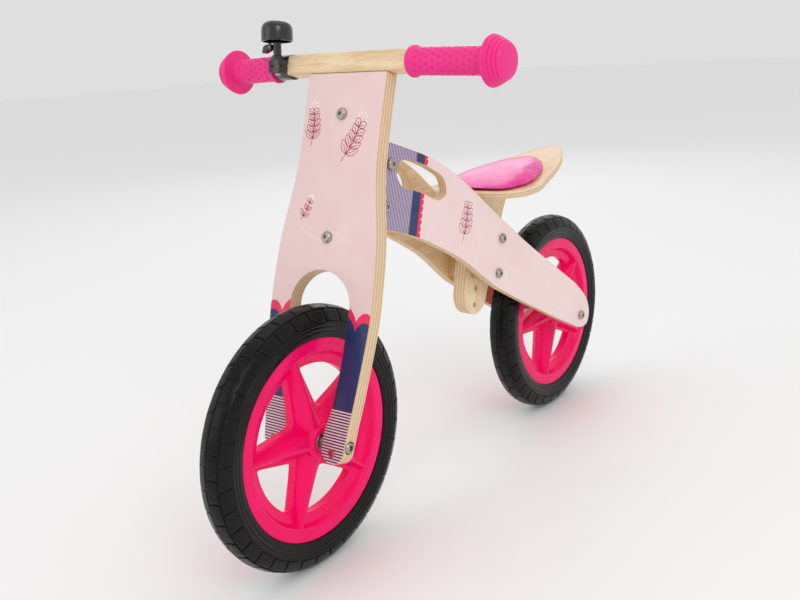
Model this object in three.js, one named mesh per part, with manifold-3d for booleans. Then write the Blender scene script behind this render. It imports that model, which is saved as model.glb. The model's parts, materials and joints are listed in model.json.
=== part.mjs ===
// Child's two-wheeled balance bike: a plywood fork board steers a front wheel, two splayed plywood
// panels carry the seat post and the rear wheel. Millimetres, +Z up, the front points to -Y and the
// rider's left hand is on +X. The origin is on the ground halfway between the two axles.
import * as THREE from "three";
import { mergeVertices } from "three/addons/utils/BufferGeometryUtils.js";
import Module from "manifold-3d";

const wasm = await Module();
wasm.setup();

// ---- fits ----
const GAP = 0.3; // between pieces that touch
const RUNNING = 0.3; // radial play of a shaft in its hole

// ---- wheels ----
const WHEELBASE = 545;
const TYRE_RADIUS = 148;
const TYRE_WIDTH = 38;
const TYRE_DEPTH = 35; // from the tread down to the rim flange
const FLANGE_HALF = 15.1; // half the width over the rim flanges
const FLANGE_WALL = 2.5;
const CHANNEL_DEPTH = 8.4; // how far the tyre foot sits below the flange
const RIM_WALL = 14; // flange edge to the inner edge of the sloped band
const BARREL_DEPTH = 29; // flange edge to the edge of the spoke windows
const WEB_HALF = 5; // half thickness of the plate between the spokes
const SPOKES = 5;
const SPOKE_TOP_HUB = 19; // spoke ridge height over the wheel's middle plane, at the hub
const SPOKE_TOP_RIM = 14.4; // and at the rim
const WINDOW_APEX = 33;
const HUB_RADIUS = 20;
const HUB_HALF = 22; // half the length of the hub over its bosses
const BOSS_RADIUS = 16.5;
const BEARING_RADIUS = 11;
const BEARING_WIDTH = 7;
const WHEEL_STEPS = 36; // facets round the tyre and rim, a multiple of four
const FRONT_WHEEL_TURN = 22.5; // degrees that the spokes have rolled past straight down
const REAR_WHEEL_TURN = 15;

// ---- fasteners ----
const AXLE_RADIUS = 4;
const AXLE_HEAD_RADIUS = 6.8;
const BOLT_RADIUS = 3;
const BOLT_HEAD_RADIUS = 6.5;
const BOLT_HEAD_HEIGHT = 4;
const SOCKET_RADIUS = 2.6;
const PIN_RADIUS = 4;
const PIN_HEAD_RADIUS = 7;

// ---- fork board ----
const RAKE = THREE.MathUtils.degToRad(17.4);
const BOARD_THICKNESS = 18;
const BOARD_TOP_HALF = 54.5;
const BOARD_WAIST_HALF = 71.9;
const BOARD_TOP_RISE = 45; // board top over the upper steering bolt
const ARCH_ROOM = 35.3; // tyre to the top of the arch
const ARCH_HALF = 42;
const ARCH_RISE = 38.3;
const LEG_END_RADIUS = 15.5;
const LEG_END_X = 42.5;
const LEG_END_DROP = 5; // centre of the round leg end under the axle
const LOCK_SCREW_RADIUS = 1.9;
const LOCK_SCREW_DROP = 8.6;

// ---- steering ----
const STEER_SETBACK = 39; // steering axis behind the board's middle plane
const BLOCK_HEIGHT = 27;
const BLOCK_HALF = 20;
const BLOCK_BEHIND = 10; // block behind the steering axis
const LOWER_BOLT_RISE = 35.9; // lower steering bolt over the arch
const FLANGE_THICKNESS = 3.5; // thrust flange of each head bushing
const FLANGE_RADIUS = 12;
const HEAD_HEIGHT = 98.5;
const HEAD_FRONT = 15; // frame panels ahead of the steering axis
const HEAD_REAR = 34; // head block behind the steering axis
const BUSHING_RADIUS = 6;
const BUSHING_LENGTH = 24;
const BARREL_RADIUS = 5;
const BARREL_SETBACK = 22; // barrel nut behind the board's middle plane
const HEAD_BOLT_BACK = 14;
const HEAD_BOLT_SPREAD = 48;

// ---- side panels ----
const PANEL_THICKNESS = 12;
const HEAD_OUTER_HALF = 23.9; // outer faces at the steering axis
const TAIL_OUTER_HALF = 58; // outer faces at the rear axle

// ---- handlebar ----
const BAR_HEIGHT = 22.6;
const BAR_DEPTH = 22;
const BAR_EDGE_RADIUS = 5;
const BAR_END_RADIUS = 10.8;
const BAR_FLAT_LEFT = 78; // squared middle of the bar, each way from its centre
const BAR_FLAT_RIGHT = 86;
const BAR_BEND = 70; // where the round ends begin to droop
const BAR_DROOP = THREE.MathUtils.degToRad(2);
const GRIP_END = 195.5; // grip tips from the bike's middle, along the bar
const LEFT_GRIP_START = 79.5;
const RIGHT_GRIP_START = 110;
const GRIP_RADIUS = 14.3;
const COLLAR_RADIUS = 16.5;
const GUARD_RADIUS = 25.6;
const GRIP_END_WALL = 6;

// ---- bell ----
const BELL_X = -97.5;
const BELL_LEAN = THREE.MathUtils.degToRad(10); // forward of the fork board
const CLAMP_HALF = 10;
const CLAMP_WALL = 3;
const EAR_REACH = 12;
const BELL_STEM_RADIUS = 4.6;
const BELL_STEM_FOOT = BELL_STEM_RADIUS + 1.6; // collar where the stem meets the clamp
const BELL_STEM_AHEAD = BAR_END_RADIUS + BELL_STEM_FOOT;
const DOME_RADIUS = 18;
const DOME_BOTTOM = 27.5;
const DOME_HEIGHT = 23;
const DOME_WALL = 1.6;

// ---- seat ----
const POST_THICKNESS = 18;
const POST_END_RADIUS = 28.5;
const POST_HOLE_PITCH = 22.9;
const SEAT_SHELL_THICKNESS = 8;
const SEAT_HALF_WIDTH = 75;
const SEAT_LENGTH = 264;
const PAD_HALF_WIDTH = 62;
const PAD_HEIGHT = 19;

// ---- derived positions ----
const FLANGE_R = TYRE_RADIUS - TYRE_DEPTH;
const CHANNEL_R = FLANGE_R - CHANNEL_DEPTH;
const WINDOW_R = FLANGE_R - BARREL_DEPTH;
const ARCH_TOP = TYRE_RADIUS + ARCH_ROOM;
const LOWER_BOLT = ARCH_TOP + LOWER_BOLT_RISE;
const HEAD_BOTTOM = LOWER_BOLT + BLOCK_HEIGHT / 2 + FLANGE_THICKNESS + 2 * GAP;
const HEAD_TOP = HEAD_BOTTOM + HEAD_HEIGHT;
const HEAD_MIDDLE = (HEAD_BOTTOM + HEAD_TOP) / 2;
const UPPER_BOLT = HEAD_TOP + FLANGE_THICKNESS + 2 * GAP + BLOCK_HEIGHT / 2;
const BOARD_TOP = UPPER_BOLT + BOARD_TOP_RISE;
const BAR_AXIS = BOARD_TOP + GAP + BAR_HEIGHT / 2;
const BOARD_FRONT = -BOARD_THICKNESS / 2;
const BOARD_BACK = BOARD_THICKNESS / 2;
const AXLE_SEAT = LEG_END_X + LEG_END_RADIUS - 4.7; // floor of the axle head recess
const FRONT_AXLE = new THREE.Vector3(0, -WHEELBASE / 2, TYRE_RADIUS);
const REAR_AXLE = new THREE.Vector3(0, WHEELBASE / 2, TYRE_RADIUS);

// A point of the steering head, from its distance up the board and its distance behind the steering
// axis.
function headPoint(up, behind = 0) {
  const back = STEER_SETBACK + behind;
  return new THREE.Vector2(
    FRONT_AXLE.y + back * Math.cos(RAKE) + up * Math.sin(RAKE),
    FRONT_AXLE.z - back * Math.sin(RAKE) + up * Math.cos(RAKE),
  );
}
const HEAD = headPoint(HEAD_MIDDLE);
const SPINE = new THREE.Vector2(REAR_AXLE.y, REAR_AXLE.z).sub(HEAD);
const SPINE_NORMAL = new THREE.Vector2(-SPINE.y, SPINE.x).normalize();
const SPLAY = Math.atan2(TAIL_OUTER_HALF - HEAD_OUTER_HALF, SPINE.x);

// A point given by its share of the way from steering head to rear axle, and its height over that line.
function spinePoint([share, rise]) {
  return HEAD.clone().addScaledVector(SPINE, share).addScaledVector(SPINE_NORMAL, rise);
}
const outerHalfAt = (y) => HEAD_OUTER_HALF + (y - HEAD.x) * Math.tan(SPLAY);
const POST_BOLT_UPPER = spinePoint([0.5014, 29.6]);
const POST_BOLT_LOWER = spinePoint([0.5314, -13.9]);
// Outline of a side panel: share of the way down the spine, then height over it.
const PANEL_BOTTOM = [[-0.0046, -51.4], [0.0914, -39.2], [0.1862, -29.9], [0.2964, -25.4], [0.3804, -24.7],
  [0.4771, -29.3], [0.544, -31.8], [0.6422, -30.6], [0.7812, -27.2], [0.8924, -23.7], [0.9692, -19.9]];
const PANEL_TAIL = [[0.9692, -19.9], [1.0086, -18.2], [1.045, -8.5], [1.0485, 6.5], [1.0293, 20.4],
  [0.9915, 31], [0.9174, 38.2]];
const PANEL_TOP = [[0.9174, 38.2], [0.7771, 41.5], [0.6406, 45], [0.5259, 50], [0.4055, 56.3], [0.3323, 61],
  [0.2474, 64.4], [0.1877, 64], [0.1315, 61.9], [0.0876, 58.2], [0.0042, 49.6]];
const HANDLE_HOLE = [[0.0463, 20.2], [0.0741, 12.8], [0.1136, 16.4], [0.1573, 20.3], [0.2049, 22.6],
  [0.2236, 29.6], [0.2289, 38.5], [0.2019, 50.5], [0.1616, 51.2], [0.1227, 49.5], [0.0811, 45.6],
  [0.0482, 38.5], [0.0393, 29.8]];
// Height of the panels' top edge at y.
function panelTopAt(y) {
  const line = new THREE.SplineCurve(PANEL_TOP.map(spinePoint)).getPoints(60);
  const i = Math.max(1, line.findIndex((p) => p.x <= y));
  return line[i].y + ((line[i - 1].y - line[i].y) * (y - line[i].x)) / (line[i - 1].x - line[i].x);
}
const SEAT_BACK = 34; // lowest line of the seat's top, behind the upper post bolt
const SEAT_LIFT = 63; // and over it, or more where the panels stand higher
const SEAT_BASE = new THREE.Vector2(
  POST_BOLT_UPPER.x + SEAT_BACK,
  Math.max(
    POST_BOLT_UPPER.y + SEAT_LIFT,
    panelTopAt(POST_BOLT_UPPER.x + SEAT_BACK - SEAT_LENGTH * 0.24) + SEAT_SHELL_THICKNESS,
  ),
);

// ---- solids ----
function solid(geometry) {
  const bare = new THREE.BufferGeometry();
  const flat = geometry.index ? geometry.toNonIndexed() : geometry;
  bare.setAttribute("position", flat.getAttribute("position"));
  const merged = mergeVertices(bare, 1e-4);
  const tris = new Uint32Array(merged.index.array);
  const build = () =>
    new wasm.Manifold(
      new wasm.Mesh({
        numProp: 3,
        vertProperties: merged.attributes.position.array,
        triVerts: tris,
      }),
    );
  const made = build();
  if (made.volume() > 0) return made;
  for (let i = 0; i < tris.length; i += 3) {
    [tris[i + 1], tris[i + 2]] = [tris[i + 2], tris[i + 1]];
  }
  return build();
}
const join = (...parts) => parts.reduce((a, b) => a.add(b));
const cut = (body, ...tools) => tools.reduce((a, b) => a.subtract(b), body);

function named(name, body, material) {
  const made = body.getMesh();
  const geometry = new THREE.BufferGeometry();
  const points = new Float32Array(made.numVert * 3);
  for (let i = 0; i < made.numVert; i++) {
    const at = i * made.numProp;
    points.set(made.vertProperties.subarray(at, at + 3), i * 3);
  }
  geometry.setAttribute("position", new THREE.BufferAttribute(points, 3));
  geometry.setIndex(new THREE.BufferAttribute(new Uint32Array(made.triVerts), 1));
  geometry.computeVertexNormals();
  const mesh = new THREE.Mesh(geometry, material);
  mesh.name = name;
  return mesh;
}

const vec2 = (pairs) => pairs.map(([a, b]) => new THREE.Vector2(a, b));
const curve = (pairs, steps) => new THREE.SplineCurve(vec2(pairs)).getPoints(steps);
function arc(cx, cy, radius, from, to, steps) {
  const made = [];
  for (let i = 0; i <= steps; i++) {
    const a = THREE.MathUtils.degToRad(from + ((to - from) * i) / steps);
    made.push(new THREE.Vector2(cx + radius * Math.cos(a), cy + radius * Math.sin(a)));
  }
  return made;
}
// The polygon with each corner rounded by its own radius.
function rounded(corners, radii, steps = 3) {
  const out = [];
  const count = corners.length;
  for (let i = 0; i < count; i++) {
    const at = corners[i];
    const back = corners[(i + count - 1) % count].clone().sub(at);
    const next = corners[(i + 1) % count].clone().sub(at);
    const radius = Array.isArray(radii) ? radii[i] : radii;
    if (!radius) {
      out.push(at.clone());
      continue;
    }
    const half = Math.acos(back.clone().normalize().dot(next.clone().normalize())) / 2;
    const reach = Math.min(radius / Math.tan(half), back.length() / 2.01, next.length() / 2.01);
    const a = at.clone().addScaledVector(back.normalize(), reach);
    const b = at.clone().addScaledVector(next.normalize(), reach);
    for (let k = 0; k <= steps; k++) {
      const t = k / steps;
      const p = a.clone().multiplyScalar((1 - t) * (1 - t));
      p.addScaledVector(at, 2 * t * (1 - t)).addScaledVector(b, t * t);
      out.push(p);
    }
  }
  return out;
}
function roundedBox(width, height, radius, steps = 3) {
  const w = width / 2;
  const h = height / 2;
  return rounded(vec2([[w, -h], [w, h], [-w, h], [-w, -h]]), radius, steps);
}

const X = new THREE.Vector3(1, 0, 0);
const Y = new THREE.Vector3(0, 1, 0);
const Z = new THREE.Vector3(0, 0, 1);
function extrude(outline, holes, depth) {
  const shape = new THREE.Shape(outline);
  for (const hole of holes) shape.holes.push(new THREE.Path(hole));
  return new THREE.ExtrudeGeometry(shape, { depth, bevelEnabled: false, curveSegments: 1, steps: 1 });
}
// Outline in (y, z), thick along x from one value to the other.
function alongX(outline, from, to, holes = []) {
  const geometry = extrude(outline, holes, to - from);
  geometry.applyMatrix4(new THREE.Matrix4().makeBasis(Y, Z, X));
  return solid(geometry.translate(from, 0, 0));
}
// Outline in (x, z), thick along y.
function alongY(outline, from, to, holes = []) {
  const geometry = extrude(outline, holes, to - from);
  geometry.applyMatrix4(new THREE.Matrix4().makeBasis(X, Z, Y.clone().negate()));
  return solid(geometry.translate(0, to, 0));
}
// Outline in (x, y), thick along z.
function alongZ(outline, from, to, holes = []) {
  return solid(extrude(outline, holes, to - from).translate(0, 0, from));
}
const disc = (radius, steps, cx = 0, cy = 0) => arc(cx, cy, radius, 0, 360, steps).slice(0, -1);
const rodX = (r, from, to, y = 0, z = 0, n = 16) => alongX(disc(r, n, y, z), from, to);
const rodY = (r, from, to, x = 0, z = 0, n = 16) => alongY(disc(r, n, x, z), from, to);
const rodZ = (r, from, to, x = 0, y = 0, n = 16) => alongZ(disc(r, n, x, y), from, to);
// Profile of (radius, place along x) turned about the x axis.
function turnX(profile, steps) {
  const geometry = new THREE.LatheGeometry(vec2(profile), steps);
  geometry.deleteAttribute("uv");
  geometry.deleteAttribute("normal");
  return solid(geometry.rotateZ(-Math.PI / 2));
}
function turnZ(profile, steps) {
  const geometry = new THREE.LatheGeometry(vec2(profile), steps);
  geometry.deleteAttribute("uv");
  geometry.deleteAttribute("normal");
  return solid(geometry.rotateX(Math.PI / 2));
}
function box(lo, hi) {
  const geometry = new THREE.BoxGeometry(hi[0] - lo[0], hi[1] - lo[1], hi[2] - lo[2]);
  return solid(geometry.translate((lo[0] + hi[0]) / 2, (lo[1] + hi[1]) / 2, (lo[2] + hi[2]) / 2));
}
// Skin over rings of points with equal counts, closed at both ends.
function loft(rings) {
  const count = rings[0].length;
  const points = rings.flat();
  const index = [];
  for (let k = 0; k + 1 < rings.length; k++) {
    for (let i = 0; i < count; i++) {
      const j = (i + 1) % count;
      const a = k * count;
      const b = a + count;
      index.push(a + i, a + j, b + j, a + i, b + j, b + i);
    }
  }
  for (const [base, flip] of [[0, true], [(rings.length - 1) * count, false]]) {
    const centre = new THREE.Vector3();
    for (let i = 0; i < count; i++) centre.add(points[base + i]);
    points.push(centre.divideScalar(count));
    const hub = points.length - 1;
    for (let i = 0; i < count; i++) {
      const j = (i + 1) % count;
      index.push(hub, base + (flip ? j : i), base + (flip ? i : j));
    }
  }
  const geometry = new THREE.BufferGeometry().setFromPoints(points);
  geometry.setIndex(index);
  return solid(geometry);
}

// ---- materials ----
const paint = (color, roughness = 0.5, metalness = 0) =>
  new THREE.MeshStandardMaterial({ color, roughness, metalness });
const PINK_PLY = paint(0xecd0cc);
const PALE_PLY = paint(0xf7dede);
const WOOD = paint(0xe2c79c, 0.6);
const MAGENTA = paint(0xff0a70, 0.35);
const GRIP_PINK = paint(0xf43a92, 0.6);
const PAD_PINK = paint(0xf05cb0, 0.3);
const TYRE_BLACK = paint(0x1b1b1c, 0.8);
const PLASTIC_BLACK = paint(0x222224, 0.4);
const STEEL = paint(0xc4c4c2, 0.3, 1);
const NYLON = paint(0xe9e6dd, 0.5);

// ---- fasteners ----
// Button-headed bolt along +x: the head's underside is at x = 0 and the shank runs to -length.
function bolt(shank, length, head, height, socket = SOCKET_RADIUS) {
  const made = turnX(
    [[0, -length], [shank, -length], [shank, 0], [head, 0], [head, height * 0.4],
      [head * 0.7, height], [0, height]],
    12,
  );
  return cut(made, rodX(socket, height * 0.4, height + 1, 0, 0, 6));
}
// The cap nut that closes a bolt's far end, domed toward +x.
function capNut(shank, head, height, socket = SOCKET_RADIUS) {
  const bore = shank + RUNNING;
  const made = turnX(
    [[0, height * 0.5], [bore, height * 0.5], [bore, 0], [head, 0], [head, height * 0.4],
      [head * 0.7, height], [0, height]],
    12,
  );
  return cut(made, rodX(socket, height * 0.75, height + 1, 0, 0, 6));
}
function place(mesh, x, y, z, turn = 0) {
  mesh.position.set(x, y, z);
  mesh.rotation.z = turn;
  return mesh;
}

// ---- wheels ----
function spoke() {
  const section = (along, base, ridge, top) =>
    [[base, -WEB_HALF + 0.4], [base, WEB_HALF - 0.4], [ridge, top], [-ridge, top],
      [-base, WEB_HALF - 0.4], [-base, -WEB_HALF + 0.4], [-ridge, -top], [ridge, -top]].map(
      ([side, x]) => new THREE.Vector3(x, side, along),
    );
  const end = FLANGE_R - RIM_WALL - 1.5;
  return loft([
    section(8, 17, 7, SPOKE_TOP_HUB + 0.6),
    section(34, 15.6, 5, SPOKE_TOP_HUB - 1.5),
    section(end, 5, 1.8, SPOKE_TOP_RIM),
  ]);
}
function spokeWindow() {
  const reach = WINDOW_R * 0.9;
  const half = WINDOW_R * 0.512;
  const crown = arc(0, 0, WINDOW_R, 20, -20, 3);
  const corners = [
    new THREE.Vector2(WINDOW_APEX, 0),
    new THREE.Vector2(reach, half),
    ...crown,
    new THREE.Vector2(reach, -half),
  ];
  const radii = [6, 9, ...crown.map(() => 0), 9];
  return alongX(rounded(corners, radii, 2), -WEB_HALF - 5, WEB_HALF + 5);
}
function rimBody(rolled) {
  const band = FLANGE_R - RIM_WALL;
  const inner = FLANGE_HALF - FLANGE_WALL;
  const barrel = turnX(
    [[WINDOW_R, -WEB_HALF], [band, -FLANGE_HALF + 0.4], [FLANGE_R, -FLANGE_HALF],
      [FLANGE_R, -inner], [CHANNEL_R, -inner], [CHANNEL_R, inner], [FLANGE_R, inner],
      [FLANGE_R, FLANGE_HALF], [band, FLANGE_HALF - 0.4], [WINDOW_R, WEB_HALF],
      [WINDOW_R, -WEB_HALF]],
    WHEEL_STEPS,
  );
  let web = alongX(disc(WINDOW_R + 2, 24), -WEB_HALF + 0.2, WEB_HALF - 0.2);
  const ridge = spoke();
  const opening = spokeWindow();
  const degrees = 360 / SPOKES;
  for (let i = 0; i < SPOKES; i++) {
    web = web.subtract(opening.rotate([i * degrees + degrees / 2 - 90, 0, 0]));
  }
  for (let i = 0; i < SPOKES; i++) web = web.add(ridge.rotate([180 + i * degrees, 0, 0]));
  web = web.rotate([-rolled, 0, 0]);
  const hub = turnX(
    [[0, -HUB_HALF], [BOSS_RADIUS - 1, -HUB_HALF], [BOSS_RADIUS, -HUB_HALF + 1],
      [BOSS_RADIUS + 0.6, -SPOKE_TOP_HUB], [HUB_RADIUS, -SPOKE_TOP_HUB + 1.5],
      [HUB_RADIUS, SPOKE_TOP_HUB - 1.5], [BOSS_RADIUS + 0.6, SPOKE_TOP_HUB],
      [BOSS_RADIUS, HUB_HALF - 1], [BOSS_RADIUS - 1, HUB_HALF], [0, HUB_HALF]],
    16,
  );
  const bore = BEARING_RADIUS + GAP;
  const seat = HUB_HALF - BEARING_WIDTH - GAP;
  return cut(
    join(barrel, web, hub),
    rodX(bore, seat, HUB_HALF + 1, 0, 0, 16),
    rodX(bore, -HUB_HALF - 1, -seat, 0, 0, 16),
    rodX(AXLE_RADIUS + 3, -HUB_HALF, HUB_HALF, 0, 0, 12),
  );
}
function tyreBody() {
  const foot = FLANGE_HALF - FLANGE_WALL - GAP;
  const half = TYRE_WIDTH / 2;
  const lip = FLANGE_R + GAP;
  const side = [[CHANNEL_R + GAP, foot], [lip, foot], [lip, half * 0.84],
    [TYRE_RADIUS * 0.86, half], [TYRE_RADIUS * 0.93, half * 0.9], [TYRE_RADIUS * 0.98, half * 0.6]];
  const mirror = side.map(([r, x]) => [r, -x]);
  return turnX([...mirror, [TYRE_RADIUS, 0], ...side.slice().reverse(), mirror[0]], WHEEL_STEPS);
}
function wheel(prefix, at, rolled) {
  const group = new THREE.Group();
  group.position.copy(at);
  group.add(named(prefix + "_tyre", tyreBody(), TYRE_BLACK));
  group.add(named(prefix + "_rim", rimBody(rolled), MAGENTA));
  const bearing = cut(
    rodX(BEARING_RADIUS, -BEARING_WIDTH / 2, BEARING_WIDTH / 2, 0, 0, 16),
    rodX(AXLE_RADIUS + RUNNING, -BEARING_WIDTH, BEARING_WIDTH, 0, 0, 12),
  );
  for (const [side, sign] of [["left", 1], ["right", -1]]) {
    const mesh = named(prefix + "_bearing_" + side, bearing, STEEL);
    group.add(place(mesh, sign * (HUB_HALF - BEARING_WIDTH / 2), 0, 0));
  }
  return group;
}

// ---- fork board ----
function legOutline(sign) {
  const top = ARCH_TOP - ARCH_RISE;
  const unit = top / 145;
  const inner = curve(
    [[27, -LEG_END_DROP], [27.4, 8], [29.2, 17], [34.7, 38 * unit], [37, 58 * unit],
      [40, 84 * unit], [ARCH_HALF, top]],
    9,
  );
  return inner.map((p) => new THREE.Vector2(sign * p.x, p.y));
}
function boardBody() {
  const reach = BOARD_TOP / 398;
  const outer = curve(
    [[LEG_END_X + LEG_END_RADIUS, -LEG_END_DROP], [61, 23], [65, 55 * reach], [70.7, 116 * reach],
      [BOARD_WAIST_HALF, 153 * reach], [68.7, 213 * reach], [60.5, 262 * reach], [56.6, 288 * reach],
      [BOARD_TOP_HALF, 316 * reach]],
    18,
  );
  const right = [...outer, new THREE.Vector2(BOARD_TOP_HALF, BOARD_TOP)];
  const left = right.map((p) => new THREE.Vector2(-p.x, p.y)).reverse();
  const arch = [];
  for (let i = 1; i < 12; i++) {
    const a = (Math.PI * i) / 12;
    arch.push(new THREE.Vector2(-ARCH_HALF * Math.cos(a), ARCH_TOP - ARCH_RISE * (1 - Math.sin(a))));
  }
  const endLeft = arc(-LEG_END_X, -LEG_END_DROP, LEG_END_RADIUS, 180, 360, 8).slice(1, -1);
  const endRight = arc(LEG_END_X, -LEG_END_DROP, LEG_END_RADIUS, 180, 360, 8).slice(1, -1);
  const outline = [...right, ...left, ...endLeft, ...legOutline(-1), ...arch,
    ...legOutline(1).reverse(), ...endRight];
  const holes = [LOWER_BOLT, UPPER_BOLT].map((s) => disc(BOLT_RADIUS + RUNNING, 12, 0, s).reverse());
  const flat = alongY(outline, BOARD_FRONT, BOARD_BACK, holes);
  return cut(
    flat,
    rodX(AXLE_RADIUS + RUNNING, -90, 90, 0, 0, 16),
    rodX(AXLE_HEAD_RADIUS + 2 * GAP, AXLE_SEAT, 90, 0, 0, 20),
    rodX(AXLE_HEAD_RADIUS + 2 * GAP, -90, -AXLE_SEAT, 0, 0, 20),
    rodY(LOCK_SCREW_RADIUS + RUNNING, BOARD_FRONT - 1, BOARD_BACK - 4, LEG_END_X, -LOCK_SCREW_DROP, 10),
    rodY(LOCK_SCREW_RADIUS + RUNNING, BOARD_FRONT - 1, BOARD_BACK - 4, -LEG_END_X, -LOCK_SCREW_DROP, 10),
  );
}
function steeringBlock(at) {
  const back = STEER_SETBACK + BLOCK_BEHIND;
  const front = BOARD_BACK + GAP;
  const corners = vec2([[BLOCK_HALF, front], [BLOCK_HALF, back], [-BLOCK_HALF, back], [-BLOCK_HALF, front]]);
  const pinHole = disc(PIN_RADIUS + RUNNING, 16, 0, STEER_SETBACK).reverse();
  const half = BLOCK_HEIGHT / 2;
  const body = alongZ(rounded(corners, [0, 9, 9, 0]), at - half, at + half, [pinHole]);
  return cut(
    body,
    rodX(BARREL_RADIUS + RUNNING, -BLOCK_HALF - 1, BLOCK_HALF + 1, BARREL_SETBACK, at, 16),
    rodY(BOLT_RADIUS + RUNNING, 0, BARREL_SETBACK + 6.5, 0, at, 12),
  );
}
function barrelNut() {
  return cut(
    rodX(BARREL_RADIUS, -BLOCK_HALF + 2, BLOCK_HALF - 2, 0, 0, 16),
    rodY(BOLT_RADIUS + RUNNING, -9, 9, 0, 0, 12),
  );
}
function steeringParts() {
  const group = new THREE.Group();
  const reach = BARREL_SETBACK + 5.5 - BOARD_FRONT;
  for (const [level, at] of [["upper", UPPER_BOLT], ["lower", LOWER_BOLT]]) {
    group.add(named(level + "_steering_block", steeringBlock(at), WOOD));
    const screw = bolt(BOLT_RADIUS, reach, BOLT_HEAD_RADIUS, BOLT_HEAD_HEIGHT);
    const mesh = place(named(level + "_steering_bolt", screw, STEEL), 0, BOARD_FRONT - GAP, at);
    mesh.rotation.z = -Math.PI / 2;
    group.add(mesh);
    group.add(place(named(level + "_barrel_nut", barrelNut(), STEEL), 0, BARREL_SETBACK, at));
  }
  const bottom = LOWER_BOLT - BLOCK_HEIGHT / 2;
  const top = UPPER_BOLT + BLOCK_HEIGHT / 2;
  const pin = cut(
    join(
      rodZ(PIN_RADIUS, bottom - 8, top + GAP + 1, 0, STEER_SETBACK, 20),
      rodZ(PIN_HEAD_RADIUS, top + GAP, top + GAP + 5, 0, STEER_SETBACK, 20),
    ),
    rodZ(3.2, top + 2.5, top + 9, 0, STEER_SETBACK, 6),
  );
  group.add(named("steering_pin", pin, STEEL));
  const nut = cut(
    rodZ(PIN_HEAD_RADIUS + 0.5, bottom - GAP - 6.5, bottom - GAP, 0, STEER_SETBACK, 6),
    rodZ(PIN_RADIUS + RUNNING, bottom - 20, bottom, 0, STEER_SETBACK, 20),
  );
  group.add(named("steering_pin_nut", nut, STEEL));
  return group;
}
function frontAxleParts() {
  const group = new THREE.Group();
  const rod = bolt(AXLE_RADIUS, 2 * AXLE_SEAT + 3, AXLE_HEAD_RADIUS, 7, 3.4);
  group.add(place(named("front_axle", rod, STEEL), AXLE_SEAT + GAP, 0, 0));
  const nut = named("front_axle_nut", capNut(AXLE_RADIUS, AXLE_HEAD_RADIUS, 7, 3.4), STEEL);
  group.add(place(nut, -AXLE_SEAT - GAP, 0, 0, Math.PI));
  const from = HUB_HALF + GAP;
  const to = LEG_END_X - LEG_END_RADIUS - GAP;
  const ring = cut(rodX(7.5, from, to, 0, 0, 20), rodX(AXLE_RADIUS + RUNNING, 0, 90, 0, 0, 16));
  const screw = bolt(LOCK_SCREW_RADIUS, 11, 4.4, 1.9, 1.5);
  for (const [side, sign] of [["left", 1], ["right", -1]]) {
    group.add(place(named("front_spacer_" + side, ring, STEEL), 0, 0, 0, sign > 0 ? 0 : Math.PI));
    const mesh = named("axle_lock_screw_" + side, screw, STEEL);
    group.add(place(mesh, sign * LEG_END_X, BOARD_FRONT - GAP, -LOCK_SCREW_DROP, -Math.PI / 2));
  }
  return group;
}

// ---- handlebar ----
function handlebarBody() {
  const section = roundedBox(BAR_DEPTH, BAR_HEIGHT, BAR_EDGE_RADIUS, 3);
  const middle = alongX(section, -BAR_FLAT_RIGHT, BAR_FLAT_LEFT);
  const tip = GRIP_END - GRIP_END_WALL - GAP - BAR_BEND;
  const droop = THREE.MathUtils.radToDeg(BAR_DROOP);
  const left = rodX(BAR_END_RADIUS, -10, tip, 0, 0, 16).rotate([0, droop, 0]).translate([BAR_BEND, 0, 0]);
  const right = rodX(BAR_END_RADIUS, -tip, 10, 0, 0, 16).rotate([0, -droop, 0]).translate([-BAR_BEND, 0, 0]);
  return join(middle, left, right);
}
// The frame of one drooping bar end: its x axis is the end's own axis, from the bend outward on the left.
function barEnd(sign) {
  const group = new THREE.Group();
  group.position.set(sign * BAR_BEND, 0, BAR_AXIS);
  group.rotation.y = sign * BAR_DROOP;
  return group;
}
function gripBody(start) {
  const length = GRIP_END - start;
  const bore = BAR_END_RADIUS + GAP;
  const at = (fromEnd) => length - fromEnd;
  return turnX(
    [[0, at(GRIP_END_WALL)], [bore, at(GRIP_END_WALL)], [bore, 0], [COLLAR_RADIUS - 1, 0],
      [COLLAR_RADIUS, 5], [GRIP_RADIUS, 7.5], [GRIP_RADIUS, at(22)],
      [GUARD_RADIUS, at(19.5)], [GUARD_RADIUS, at(17)], [GUARD_RADIUS - 2.5, at(12.2)],
      [GUARD_RADIUS - 6.5, at(3)], [GUARD_RADIUS - 10, length], [0, length]],
    20,
  );
}

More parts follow.
